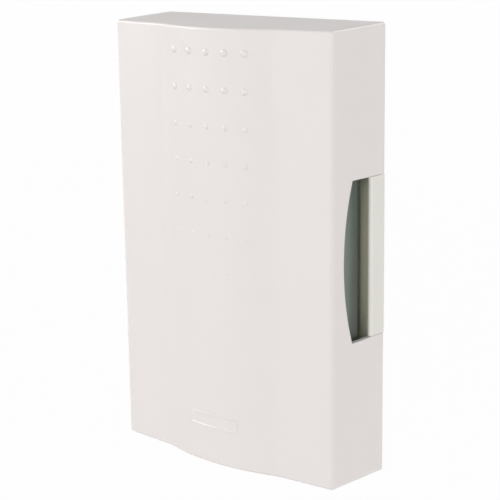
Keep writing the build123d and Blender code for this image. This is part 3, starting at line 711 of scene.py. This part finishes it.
def grown(name, group, values, mesh=None):
    """A mesh object made by a tree, with the tree's inputs set by their identifiers."""
    thing = link_object(name, mesh or bpy.data.meshes.new(name))
    step = thing.modifiers.new("grow", "NODES")
    step.node_group = bpy.data.node_groups[group]
    for item in step.node_group.interface.items_tree:
        if item.in_out == "INPUT" and item.name in values:
            step[item.identifier] = values[item.name]
    return plain_mesh(thing)


def ended(tree, end, geometry, material):
    """Realize Instances and Set Material, as every tree here ends."""
    real = tree.add("GeometryNodeRealizeInstances", {0: geometry})[0]
    coat = tree.add("GeometryNodeSetMaterial", {"Geometry": real, "Material": material})[0]
    tree.feed(end, {0: coat})


def dot_field_tree():
    """Low soft domes on a grid over the crown, square to it and smaller row by row."""
    sizes = {
        "Columns": 5,
        "Rows": 7,
        "Pitch across": 0.01,
        "Pitch down": 0.01,
        "Top": 0.08,
        "First radius": 0.002,
        "Last radius": 0.001,
        "First relief": 0.0008,
        "Last relief": 0.0002,
        "Centre across": 0.0,
        "Crown radius": 0.09,
        "Crown centre": 0.05,
    }
    tree, get, end = geometry_group("dot_field", {**sizes, "Material": "Material"})
    math, curve = tree.math, get["Crown radius"]
    across = math("MULTIPLY", math("SUBTRACT", get["Columns"], 1), get["Pitch across"])
    down = math("MULTIPLY", math("SUBTRACT", get["Rows"], 1), get["Pitch down"])
    field = {"Vertices X": get["Columns"], "Vertices Y": get["Rows"], "Size X": across, "Size Y": down}
    grid = tree.add("GeometryNodeMeshGrid", field)["Mesh"]
    x, y, _ = tree.place()
    x = math("ADD", x, get["Centre across"])
    run = math("SUBTRACT", math("MULTIPLY", down, 0.5), y)
    turn = math("ARCSINE", math("DIVIDE", x, curve))
    depth = math("ADD", get["Crown centre"], math("MULTIPLY", math("COSINE", turn), curve))
    place = tree.vector(x, math("MULTIPLY", depth, -1), math("SUBTRACT", get["Top"], run))
    numbered = {"Geometry": grid, "Name": "row", "Value": math("DIVIDE", run, down)}
    rows = tree.add("GeometryNodeStoreNamedAttribute", numbered, data_type="FLOAT", domain="POINT")[0]
    points = tree.add("GeometryNodeSetPosition", {"Geometry": rows, "Position": place})[0]

    # A ball with its front pressed to a dome, and the rest flat, a quarter of the dome's height behind it
    power, seam, behind = 0.6, 0.001, 0.25
    ball = tree.add("GeometryNodeMeshUVSphere", {"Segments": 28, "Rings": 20, "Radius": 1.0})["Mesh"]
    x, y, z = tree.place()
    squares = math("ADD", math("MULTIPLY", x, x), math("MULTIPLY", z, z))
    bell = math("POWER", math("MAXIMUM", math("SUBTRACT", 1, squares), 0), power)
    front = math("LESS_THAN", y, seam)
    sunk = math("MULTIPLY", math("SUBTRACT", 1, front), behind)
    level = math("ADD", math("MULTIPLY", math("MULTIPLY", bell, -1), front), sunk)
    dome = tree.add("GeometryNodeSetPosition", {"Geometry": ball, "Position": tree.vector(x, level, z)})[0]

    row = tree.add("GeometryNodeInputNamedAttribute", {"Name": "row"}, data_type="FLOAT")[0]

    def graded(kind):
        """A size that falls evenly from the first row to the last."""
        first = get["First " + kind]
        return math("SUBTRACT", first, math("MULTIPLY", row, math("SUBTRACT", first, get["Last " + kind])))

    radius, relief = graded("radius"), graded("relief")
    lean = math("ARCSINE", math("DIVIDE", tree.place()[0], curve))
    inputs = {
        "Points": points,
        "Instance": dome,
        "Rotation": tree.vector(0.0, 0.0, lean),
        "Scale": tree.vector(radius, relief, radius),
    }
    dots = tree.add("GeometryNodeInstanceOnPoints", inputs)[0]
    ended(tree, end, tree.add("GeometryNodeSetShadeSmooth", {0: dots})[0], get["Material"])


def helix_tree():
    """A wire wound along X, with closed turns at both ends."""
    sizes = {
        "Turns": 8.0,
        "Mean radius": 0.004,
        "Length": 0.01,
        "Wire radius": 0.0002,
        "Closed turns": 1.0,
        "Steps a turn": 36,
        "Sides": 10,
    }
    tree, get, end = geometry_group("wound_wire", {**sizes, "Material": "Material"})
    math, wire = tree.math, get["Wire radius"]
    turns = {
        "Height": 0.0,
        "Resolution": get["Steps a turn"],
        "Rotations": get["Turns"],
        "Start Radius": get["Mean radius"],
        "End Radius": get["Mean radius"],
    }
    spiral = tree.add("GeometryNodeCurveSpiral", turns)[0]
    factor = tree.add("GeometryNodeSplineParameter")["Factor"]
    edge = math("DIVIDE", get["Closed turns"], get["Turns"])
    far = math("SUBTRACT", 1, edge)
    spans = ((0, edge), (edge, far), (far, 1))
    first, middle, last = (tree.ranged(factor, low, high, "From") for low, high in spans)
    closed_pitch = 2.04  # in radii of the wire
    dead = math("MULTIPLY", wire, math("MULTIPLY", get["Closed turns"], closed_pitch))
    live = math("SUBTRACT", get["Length"], math("MULTIPLY", dead, 2))
    along = math("ADD", math("MULTIPLY", dead, math("ADD", first, last)), math("MULTIPLY", live, middle))
    x, y, _ = tree.place()
    laid = tree.add("GeometryNodeSetPosition", {"Geometry": spiral, "Position": tree.vector(along, x, y)})[0]
    section = tree.add("GeometryNodeCurvePrimitiveCircle", {"Resolution": get["Sides"], "Radius": wire})[0]
    tube = tree.add("GeometryNodeCurveToMesh", {"Curve": laid, "Profile Curve": section, "Fill Caps": True})[0]
    ended(tree, end, tree.add("GeometryNodeSetShadeSmooth", {0: tube})[0], get["Material"])


def copies_tree():
    """One pattern piece set on every point of a mesh, each with its own turn."""
    tree, get, end = geometry_group("set_on_points", {"Pattern": "Object", "Size": 1.0, "Material": "Material"})
    size = get["Size"]
    inputs = {
        "Points": tree.add("GeometryNodeMeshToPoints", {"Mesh": get["Geometry"]})[0],
        "Instance": tree.add(
            "GeometryNodeObjectInfo", {"Object": get["Pattern"]}, transform_space="ORIGINAL"
        )["Geometry"],
        "Rotation": tree.add("GeometryNodeInputNamedAttribute", {"Name": "turn"}, data_type="FLOAT_VECTOR")[0],
        "Scale": tree.vector(size, size, size),
    }
    ended(tree, end, tree.add("GeometryNodeInstanceOnPoints", inputs)[0], get["Material"])


def set_on_points(name, pattern, places, slot_name):
    """Copies of a pattern at (point, turn) places, as one mesh. The pattern is deleted."""
    mesh = mesh_from([p for p, _ in places], [])
    turns = mesh.attributes.new("turn", "FLOAT_VECTOR", "POINT")
    for i, (_, turn) in enumerate(places):
        turns.data[i].vector = turn
    values = {"Pattern": pattern, "Size": 1.0, "Material": dressed(slot_name)}
    made = grown(name, "set_on_points", values, mesh)
    bpy.data.objects.remove(pattern)
    return made


# Turned and cut pieces

HEAD_HEIGHT = 1.9 * MM  # of every screw
NO_TURN = (0, 0, 0)


def lathe(name, outline, steps=48, axis="Y"):
    """A solid turned about an axis from (radius, along) points, closed at both ends."""
    verts, faces, size = [], [], len(outline)
    for i in range(steps):
        turn = 2 * pi * i / steps
        for radius, along in outline:
            a, b = radius * cos(turn), radius * sin(turn)
            verts.append({"X": (along, a, b), "Y": (a, along, b), "Z": (a, b, along)}[axis])
        j = (i + 1) % steps
        for k in range(size):
            n = (k + 1) % size
            faces.append((i * size + k, j * size + k, j * size + n, i * size + n))
    return solid(name, verts, faces, 1e-7, thin=True)


def screw_pattern(s, shank):
    """A slotted pan-head screw, its head's seat at the origin and facing -Y, with a rolled thread."""
    r, core, high = s.screw_head, s.screw_shank, HEAD_HEIGHT
    lip, point, crown = 0.6 * MM, 0.6 * core, 1.04 * high
    outline = [(0.0, shank), (point, shank)] + thread_points(core, shank) + [(r, 0.0)]
    outline += arc_points((r - lip, lip - high), lip, 0, -90, 6) + [(0.0, -crown)]
    body = lathe("pattern", outline, steps=40)
    slot_half, slot_deep, edge = 0.35 * MM, 0.8 * MM, 0.06 * MM
    slot = boxes_object(((-2 * r, -1.2 * high, -slot_half), (2 * r, slot_deep - high, slot_half)))
    combined(body, slot, "DIFFERENCE")
    return softened(body, edge, 1, 40)


def thread_points(radius, shank):
    """Crests and roots of a thread, from its tip back to the head."""
    pitch, root = 0.5 * MM, 0.8 * radius
    made = []
    for i in range(int(shank / pitch) - 1, 0, -1):
        made += [(root, pitch * (i + 0.5)), (radius, pitch * i)]
    return made + [(root, pitch * 0.5)]


def smooth_wire(name, points, radius):
    """A round wire on one smooth spline through control points."""
    line = bpy.data.curves.new(name, "CURVE")
    line.dimensions = "3D"
    line.bevel_depth, line.bevel_resolution, line.use_fill_caps = radius, 4, True
    spline = line.splines.new("NURBS")
    spline.points.add(len(points) - 1)
    for place, p in zip(spline.points, points):
        place.co = (*p, 1.0)
    spline.order_u, spline.use_endpoint_u, spline.resolution_u = 3, True, 12
    made = plain_mesh(link_object(name, line))
    with Edited(made.data) as shape:
        merged(shape, 1e-7)
        faced_out(shape)
    return softened(made, limit=60)


def joined(name, *things):
    """Several finished meshes as one."""
    mesh, shape = bpy.data.meshes.new(name), bmesh.new()
    for thing in things:
        shape.from_mesh(thing.data)
        bpy.data.objects.remove(thing)
    shape.to_mesh(mesh)
    shape.free()
    mesh.shade_smooth()
    mesh.set_sharp_from_angle(angle=radians(50))
    return link_object(name, mesh)


# Operators


class CHIME_OT_finishes(bpy.types.Operator):
    """Builds the shader and geometry trees that the pieces share"""

    bl_idname = "chime.finishes"
    bl_label = "Finishes"

    def execute(self, context):
        FINISHES.clear()
        for build in (moulded_skin, drawn_metal, dot_field_tree, helix_tree, copies_tree):
            build()
        return {"FINISHED"}


class CHIME_OT_cover(bpy.types.Operator):
    """Makes the moulded front cover with its crown and two sound openings"""

    bl_idname = "chime.cover"
    bl_label = "Front cover"

    def execute(self, context):
        s = settings("cover")
        cover = cover_shell(s)
        combined(cover, cover_ribs(s), "UNION")
        combined(cover, opening_cutter(s), "DIFFERENCE")
        round_opening_edges(cover, s)
        placed(softened(cover, limit=30), "cover", "cover_white", "front_cover")
        return {"FINISHED"}


class CHIME_OT_dots(bpy.types.Operator):
    """Raises the field of dots on the crown"""

    bl_idname = "chime.dots"
    bl_label = "Raised dots"

    def execute(self, context):
        s, cover = settings("dots"), settings("cover")
        crown = Crown(cover)
        # The tree's inputs have the names of the settings
        values = {s.bl_rna.properties[key].name: getattr(s, key) for key in s.__annotations__}
        values["Top"] = cover.height / 2 - s.top_margin
        values["Crown radius"], values["Crown centre"] = crown.radius, crown.centre.y
        values["Material"] = dressed("cover_white")
        placed(grown("cover_dots", "dot_field", values), "cover", "cover_white")
        return {"FINISHED"}


class CHIME_OT_name_place(bpy.types.Operator):
    """Makes the bare name place low on the crown: a low pad inside a fine rim"""

    bl_idname = "chime.name_place"
    bl_label = "Name place"

    def execute(self, context):
        crown = Crown(settings("cover"))
        middle_x, middle_z = -0.65 * MM, -74.2 * MM
        half_x, half_z = 13.0 * MM, 3.1 * MM
        corner, least_corner = 0.9 * MM, 0.1 * MM
        arc_steps, side_steps = 6, 24
        # From the foot of the rim over its crest to the pad: how far in and how high, in millimetres
        levels = ((0.0, -0.15), (0.0, 0.05), (0.12, 0.22), (0.35, 0.28), (0.62, 0.24), (0.8, 0.06), (1.0, 0.03))

        def outline(inset):
            r = max(corner - inset, least_corner)
            cx, cz = half_x - inset - r, half_z - inset - r
            arcs = corner_arcs(cx, cz, r, arc_steps)
            top = [(cx - 2 * cx * j / side_steps, cz + r) for j in range(1, side_steps)]
            return arcs[0] + top + arcs[1] + arcs[2] + [(-x, -z) for x, z in top] + arcs[3]

        def lifted(x, z, rise):
            turn, reach = asin((x + middle_x) / crown.radius), crown.radius + rise
            return (sin(turn) * reach, -(crown.centre.y + cos(turn) * reach), z + middle_z)

        rings = [[lifted(x, z, rise * MM) for x, z in outline(inset * MM)] for inset, rise in levels]
        verts, size = sum(rings, []), len(rings[0])
        caps = [tuple(range(len(verts) - size, len(verts))), tuple(reversed(range(size)))]
        mesh = mesh_from(verts, ring_faces(len(rings), size) + caps)
        with Edited(mesh) as shape:
            bmesh.ops.connect_verts_concave(shape, faces=[f for f in shape.faces if len(f.verts) > 8])
            faced_out(shape)
        placed(softened(link_object("name_place", mesh), limit=60), "cover", "cover_white")
        return {"FINISHED"}


class CHIME_OT_base(bpy.types.Operator):
    """Dresses the moulded base tray"""

    bl_idname = "chime.base"
    bl_label = "Base tray"

    def execute(self, context):
        s = settings("cover")
        tray = copy_of("base_plate", "base_tray")
        front, thick, half = 8.8 * MM, 2.5 * MM, s.opening_height / 2
        step, sink, short, margin = 0.3 * MM, 0.05 * MM, 0.14 * MM, 1 * MM
        inner, outer = s.width / 2 - thick, s.width / 2 + margin
        # The plain side walls come off, and the floor under them a step further out, so that
        # no groove shows on the back where the new walls stand
        for start, back, near in ((inner, -margin, -front - margin), (inner + step, margin, -2 * margin)):
            right = ((start, near, -half), (outer, back, half))
            left = ((-outer, near, -half), (-start, back, half))
            combined(tray, boxes_object(right, left), "DIFFERENCE")
        for side in (1, -1):
            combined(tray, self.side_wall(s, side, inner - sink, front, half - short), "UNION")
        made_whole(tray.data, 1e-5)
        placed(softened(tray, limit=28), "base", "base_white", "base_plate")
        return {"FINISHED"}

    def side_wall(self, s, side, inner, front, half):
        """One wall that fills the rear of an opening, flush with the cover, its lip well rounded."""
        inner_lip, outer_lip, edge = 1.0 * MM, 1.2 * MM, 0.12 * MM
        outer = side_x(s, front - outer_lip) - outer_lip
        outline = [(inner, 0.0)]
        outline += arc_points((inner + inner_lip, inner_lip - front), inner_lip, 180, 270, 10)
        outline += arc_points((outer, outer_lip - front), outer_lip, 270, 360, 8)
        outline.append((side_x(s, 0.0), 0.0))
        return softened(prism("side_wall", [(side * x, y) for x, y in outline], -half, half, "Z"), edge, 1, 60)


# Pieces that are a rounded copy of their CAD node: node, body, slot, rounding in millimetres
ROUNDED = (
    ("chime_bar_right", "base", "bar_steel", 0.1),
    ("chime_bar_left", "base", "bar_steel", 0.1),
    ("coil_bobbin", "base", "bobbin_nylon", 0.12),
    ("coil_tape", "base", "coil_tape", 0),
    ("coil_yoke", "base", "zinc_steel", 0.12),
    ("yoke_strap", "base", "zinc_steel", 0.12),
    ("guide_tube", "base", "brass_tube", 0.08),
    ("plunger_core", "plunger", "plunger_steel", 0.1),
    ("striker_right", "plunger", "striker_nylon", 0.1),
    ("striker_left", "plunger", "striker_nylon", 0.1),
    ("spring_clip", "plunger", "spring_steel", 0.1),
    ("terminal_block", "base", "block_plastic", 0.18),
    ("terminal_plates", "base", "terminal_brass", 0.08),
    ("coil_tags", "base", "tinned_pins", 0.08),
)


class CHIME_OT_metalwork(bpy.types.Operator):
    """Rounds the edges of the bars, yoke, bobbin, plunger and terminal parts"""

    bl_idname = "chime.metalwork"
    bl_label = "Bars, coil body and plunger"

    def execute(self, context):
        for node, body, slot_name, rounding in ROUNDED:
            piece = softened(copy_of(node, node + "_dressed"), rounding * MM, 2, 32)
            placed(piece, body, slot_name, node)
        return {"FINISHED"}


class CHIME_OT_grommets(bpy.types.Operator):
    """Sets the rubber grommets in the bars and the push-on nuts on the pegs"""

    bl_idname = "chime.grommets"
    bl_label = "Grommets and nuts"

    def execute(self, context):
        for side in ("right", "left"):
            half, flange, pegs = self.pegs(side)
            neck, bore, lip = 3.2 * MM, 2.06 * MM, 0.45 * MM
            neck_half = half - 1.4 * MM
            one = [(bore, half)] + arc_points((flange - lip, half - lip), lip, 90, 0, 5)
            one += arc_points((flange - lip, neck_half + lip), lip, 0, -90, 5) + [(neck, neck_half)]
            outline = one + [(r, -a) for r, a in reversed(one)]
            pattern = softened(lathe("pattern", outline, 40, "X"), limit=50)
            made = set_on_points("grommets_" + side, pattern, [(p, NO_TURN) for p in pegs], "grommet_rubber")
            placed(made, "base", "grommet_rubber", "bar_grommets_" + side)
        self.nuts()
        return {"FINISHED"}

    def pegs(self, side):
        """Half the length and the radius of a bar's grommets, and the middles of its two."""
        low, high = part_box("bar_grommets_" + side)
        middle, radius = (low + high) / 2, (high.y - low.y) / 2
        spread = (high.z - low.z) / 2 - radius
        places = [(middle.x, middle.y, middle.z + z) for z in (-spread, spread)]
        return (high.x - low.x) / 2, radius, places

    def nuts(self):
        """Spring-steel push-on nuts with a dished rim and a toothed bore."""
        low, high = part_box("peg_nuts")
        radius, bore, thick = 3.4 * MM, 2.03 * MM, 0.8 * MM
        outline = [(bore, 0.12 * MM), (2.9 * MM, 0.3 * MM), (radius, 0), (radius, 0.22 * MM)]
        outline += [(2.95 * MM, thick - 0.1 * MM), (bore, thick)]
        nut = lathe("pattern", outline, 48, "X")
        slit, reach, slits = 0.25 * MM, 2.75 * MM, 3
        for i in range(slits):
            cutter = boxes_object(((-thick, -slit, -reach), (2 * thick, slit, reach)))
            cutter.data.transform(Matrix.Rotation(pi * i / slits, 4, "X"))
            combined(nut, cutter, "DIFFERENCE")
        places = []
        for side, x, turn in (("right", high.x - thick, NO_TURN), ("left", low.x + thick, (0, 0, pi))):
            places += [((x, y, z), turn) for _, y, z in self.pegs(side)[2]]
        made = set_on_points("push_nuts", softened(nut, 0.04 * MM, 1, 40), places, "spring_steel")
        placed(made, "base", "spring_steel", "peg_nuts")


class CHIME_OT_wound(bpy.types.Operator):
    """Winds the coil and the return spring"""

    bl_idname = "chime.wound"
    bl_label = "Coil and spring"

    def execute(self, context):
        s, slot_name = settings("inside"), "spring_steel"
        spring = self.wound("return_spring", "return_spring_wire", slot_name, s.spring_wire, s.spring_turns, 1.0, 12)
        placed(spring, None, slot_name, "return_spring")
        low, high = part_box("return_spring")
        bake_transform(spring)

        wire, hub = s.winding_wire, 5.15 * MM
        winding = self.wound("coil_winding", "outer_winding", "copper_winding", wire, 0, 0.5, 6)
        low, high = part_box("coil_winding")
        under, half = (high.z - low.z) / 2 - 1.2 * wire, (high.x - low.x) / 2
        core = lathe("core", [(hub, -half), (under, -half), (under, half), (hub, half)], 64, "X")
        core.data.transform(Matrix.Translation((low + high) / 2))
        placed(joined("coil_windings", winding, softened(core)), "base", "copper_winding", "coil_winding")
        return {"FINISHED"}

    def wound(self, node, name, slot_name, wire, turns, closed, sides):
        """A wire wound to fill a CAD node's box, side by side where no turns are given."""
        low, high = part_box(node)
        run, pitch = high.x - low.x - 2 * wire, 2.05 * wire
        values = {
            "Turns": float(turns or int(run / pitch)),
            "Mean radius": (high.z - low.z) / 2 - wire,
            "Length": run,
            "Wire radius": wire,
            "Closed turns": closed,
            "Steps a turn": 40,
            "Sides": sides,
            "Material": dressed(slot_name),
        }
        made, middle = grown(name, "wound_wire", values), (low + high) / 2
        made.data.transform(Matrix.Translation((low.x + wire, middle.y, middle.z)))
        return made


class CHIME_OT_screws(bpy.types.Operator):
    """Sets the yoke, block and terminal screws and their clamp washers"""

    bl_idname = "chime.screws"
    bl_label = "Screws and washers"

    def execute(self, context):
        s = settings("inside")
        low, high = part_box("yoke_screws")
        spread = (high.z - low.z) / 2 - s.screw_head
        seats = [(0, low.y + HEAD_HEIGHT, z) for z in (-spread, spread)]
        self.screws(s, "yoke_screws", "yoke_screw_pair", seats, high.y - low.y - HEAD_HEIGHT, (40, 100))
        low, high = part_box("block_screw")
        seats = [((low.x + high.x) / 2, low.y + HEAD_HEIGHT, (low.z + high.z) / 2)]
        self.screws(s, "block_screw", "block_screw_made", seats, high.y - low.y - HEAD_HEIGHT, (15,))
        seats, shank = self.terminal_places(s), 6.2 * MM
        self.screws(s, "terminal_screws", "terminal_screw_set", seats, shank, (25, 110, 70, 155))
        self.washers(s, seats)
        return {"FINISHED"}

    def screws(self, s, node, name, seats, shank, turns):
        """Like screws in their seats, each slot turned by its own angle in degrees."""
        places = [(seat, (0, radians(turn), 0)) for seat, turn in zip(seats, turns)]
        placed(set_on_points(name, screw_pattern(s, shank), places, "zinc_screws"), "base", "zinc_screws", node)

    def terminal_places(self, s):
        """Seats of the four terminal screws: upper ones clamp a lead, lower ones sit on the plate."""
        low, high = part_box("terminal_screws")
        x, z = high.x - s.screw_head, (high.z - low.z) / 2 - s.screw_head
        middle, upper = (low.z + high.z) / 2, low.y + HEAD_HEIGHT
        depths = {1: upper, -1: upper + 2 * s.bare_radius}
        return [(side * x, depths[up], middle + up * z) for side in (-1, 1) for up in (-1, 1)]

    def washers(self, s, seats):
        half, thick, bore = s.washer_side / 2, 0.8 * MM, 1.3 * MM
        plate = boxes_object(((-half, 0, -half), (half, thick, half)))
        hole = lathe("hole", [(0, -thick), (bore, -thick), (bore, 2 * thick), (0, 2 * thick)], 32)
        combined(plate, hole, "DIFFERENCE")
        places = [(seat, NO_TURN) for seat in seats]
        made = set_on_points("clamp_washers", softened(plate, 0.1 * MM, 2, 40), places, "terminal_brass")
        placed(made, "base", "terminal_brass", "terminal_washers")


class CHIME_OT_leads(bpy.types.Operator):
    """Runs the coil's two leads from the tags to the terminals, with their bare ends"""

    bl_idname = "chime.leads"
    bl_label = "Leads"

    def execute(self, context):
        s, bare = settings("inside"), []
        for side, sign in (("right", 1), ("left", -1)):
            low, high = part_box("coil_lead_" + side)
            outer, inner = (high.x, low.x) if sign > 0 else (low.x, high.x)
            r, solder_half, solder_high = s.sleeve_radius, 0.78 * MM, 1.25 * MM
            # X and Y of the lead at its tag, in the comb and under its clamp washer
            tag = (outer - sign * r, low.y + r)
            comb = (inner + sign * r, high.y - r)
            clamp = (comb[0], -8.95 * MM)
            points = self.heights(tag, high.z, 0, -3.2) + self.heights(comb, 0, -29, -37)
            points += self.heights(clamp, low.z, 4.0, 0)
            lead = smooth_wire("lead_" + side, points, r)
            placed(lead, "base", "lead_sleeve", "coil_lead_" + side)
            bare.append(smooth_wire("tail", self.heights(clamp, low.z, 0.5, -3, -6.8), s.bare_radius))
            bare.append(smooth_wire("tip", self.heights(tag, high.z, -0.5, 0.8, 1.6), s.bare_radius))
            bead = [(solder_half * x, solder_high * z) for x, z in arc_points((0, 0), 1.0, -90, 90, 14)]
            solder = lathe("solder", bead, 24, "Z")
            solder.data.transform(Matrix.Translation((*tag, high.z + 1.5 * MM)))
            bare.append(softened(solder))
        placed(joined("bare_ends", *bare), "base", "tinned_pins", "lead_bare_ends")
        return {"FINISHED"}

    def heights(self, place, level, *rises):
        """Points over one place, at heights in millimetres over a level."""
        return [(*place, level + rise * MM) for rise in rises]


# Lamps: azimuth and elevation in degrees, distance, level, size, and whether matte surfaces are lit
LAMPS = {
    "key": (-55, 19, 2.5, 0.55, 0.8, True),
    "front": (22, 10, 5.0, 0.205, 1.5, True),
    "fill": (68, 8, 5.0, 0.412, 1.5, True),
    "rim": (161, 38, 1.2, 0.24, 0.4, False),
    "glint": (-85, 20, 1.2, 0.12, 0.4, False),
}


class CHIME_OT_stage(bpy.types.Operator):
    """Sets the camera at the photograph's angle, the floor and soft studio light"""

    bl_idname = "chime.stage"
    bl_label = "Stage"

    def execute(self, context):
        s = settings("stage")
        self.camera(context, s)
        self.floor(s)
        self.world(context, s)
        for name, values in LAMPS.items():
            self.lamp(name, *values)
        context.scene.view_settings.view_transform = "Standard"
        return {"FINISHED"}

    def outward(self, azimuth, elevation):
        """The way from the case to a camera or lamp."""
        return Vector((sin(azimuth) * cos(elevation), -cos(azimuth) * cos(elevation), sin(elevation)))

    def camera(self, context, s):
        back = self.outward(s.azimuth, s.elevation)
        right = Vector((0, 0, 1)).cross(back).normalized()
        up = back.cross(right)
        turned = right * cos(s.roll) + up * sin(s.roll)
        upright = up * cos(s.roll) - right * sin(s.roll)
        data = bpy.data.cameras.new("camera")
        data.lens, data.sensor_width = s.lens, 36.0
        data.clip_start, data.clip_end = 0.01, 20.0
        made = link_object("camera", data)
        place = turned * s.aim_x + upright * s.aim_y + back * s.distance
        made.matrix_world = Matrix.Translation(place) @ Matrix((turned, upright, back)).transposed().to_4x4()
        context.scene.camera = made

    def floor(self, s):
        """A plain pale floor and a backdrop, curved together."""
        level = CAD_BOX[0].z - s.floor_drop
        half, front, back, bend, high = 2.5, -2.5, 0.7, 0.6, 2.5
        section = [(front, 0.0), (back, 0.0)]
        section += [(back + bend * sin(radians(a)), bend * (1 - cos(radians(a)))) for a in range(10, 91, 10)]
        section.append((back + bend, high))
        verts = [(x, y, level + z) for y, z in section for x in (-half, half)]
        faces = [(2 * i, 2 * i + 1, 2 * i + 3, 2 * i + 2) for i in range(len(section) - 1)]
        sweep = link_object("floor", mesh_from(verts, faces))
        sweep.data.shade_smooth()
        paint = bpy.data.materials.new("floor_white")
        paint.use_nodes = True
        tree = Tree(paint.node_tree)
        tree.nodes.clear()
        diffuse = tree.add("ShaderNodeBsdfDiffuse", {"Color": (0.9, 0.9, 0.9, 1)})[0]
        glow = tree.add("ShaderNodeEmission", {"Color": (1, 1, 1, 1), "Strength": 1.0})[0]
        most_glow = 0.97  # the rest keeps the object's shadow
        seen = tree.math("MULTIPLY", self.plainly_seen(tree), most_glow)
        mix = tree.add("ShaderNodeMixShader", {"Fac": seen, 1: diffuse, 2: glow})[0]
        tree.add("ShaderNodeOutputMaterial", {"Surface": mix})
        sweep.data.materials.append(paint)

    def plainly_seen(self, tree):
        """One for the rays that show the backdrop: camera, glossy and transmission rays."""
        path = tree.add("ShaderNodeLightPath")
        shown = path["Is Camera Ray"]
        for kind in ("Is Glossy Ray", "Is Transmission Ray"):
            shown = tree.math("MAXIMUM", shown, path[kind])
        return shown

    def world(self, context, s):
        world = bpy.data.worlds.new("studio")
        world.use_nodes = True
        tree = Tree(world.node_tree)
        strength = tree.ranged(self.plainly_seen(tree), s.world, 1.0)
        tree.feed(tree.nodes["Background"], {"Color": (1, 1, 1, 1), "Strength": strength})
        context.scene.world = world

    def lamp(self, name, azimuth, elevation, distance, level, size, lights_matte):
        """A square soft lamp that adds a level to what faces it."""
        back = self.outward(radians(azimuth), radians(elevation))
        data = bpy.data.lights.new(name, "AREA")
        data.size, data.energy = size, level * pi**2 * distance**2
        made = link_object(name, data)
        made.location = back * distance
        made.rotation_euler = (-back).to_track_quat("-Z", "Y").to_euler()
        made.visible_camera, made.visible_diffuse = False, lights_matte


OPERATORS = (
    CHIME_OT_finishes,
    CHIME_OT_stage,
    CHIME_OT_cover,
    CHIME_OT_dots,
    CHIME_OT_name_place,
    CHIME_OT_base,
    CHIME_OT_metalwork,
    CHIME_OT_grommets,
    CHIME_OT_wound,
    CHIME_OT_screws,
    CHIME_OT_leads,
)
GROUPS = {
    "cover": CoverSettings,
    "dots": DotSettings,
    "inside": InsideSettings,
    "finish": FinishSettings,
    "stage": StageSettings,
}


class CHIME_PT_panel(bpy.types.Panel):
    """Lists the chime's pieces and sizes"""

    bl_idname = "CHIME_PT_panel"
    bl_label = "Doorbell chime"
    bl_space_type = "VIEW_3D"
    bl_region_type = "UI"
    bl_category = "Chime"

    def draw(self, context):
        for operator in OPERATORS:
            self.layout.operator(operator.bl_idname)
        for kind in GROUPS:
            box = self.layout.box()
            box.label(text=kind.capitalize())
            group = settings(kind)
            for name in group.__annotations__:
                box.prop(group, name)


def register():
    for kind, group in GROUPS.items():
        bpy.utils.register_class(group)
        setattr(bpy.types.Scene, "chime_" + kind, PointerProperty(type=group))
    for item in OPERATORS + (CHIME_PT_panel,):
        bpy.utils.register_class(item)


def unregister():
    for item in reversed(OPERATORS + (CHIME_PT_panel,)):
        bpy.utils.unregister_class(item)
    for kind, group in reversed(list(GROUPS.items())):
        delattr(bpy.types.Scene, "chime_" + kind)
        bpy.utils.unregister_class(group)


def main():
    register()
    for operator in OPERATORS:
        getattr(bpy.ops.chime, operator.bl_idname.split(".")[1])()


if __name__ == "__main__":
    main()
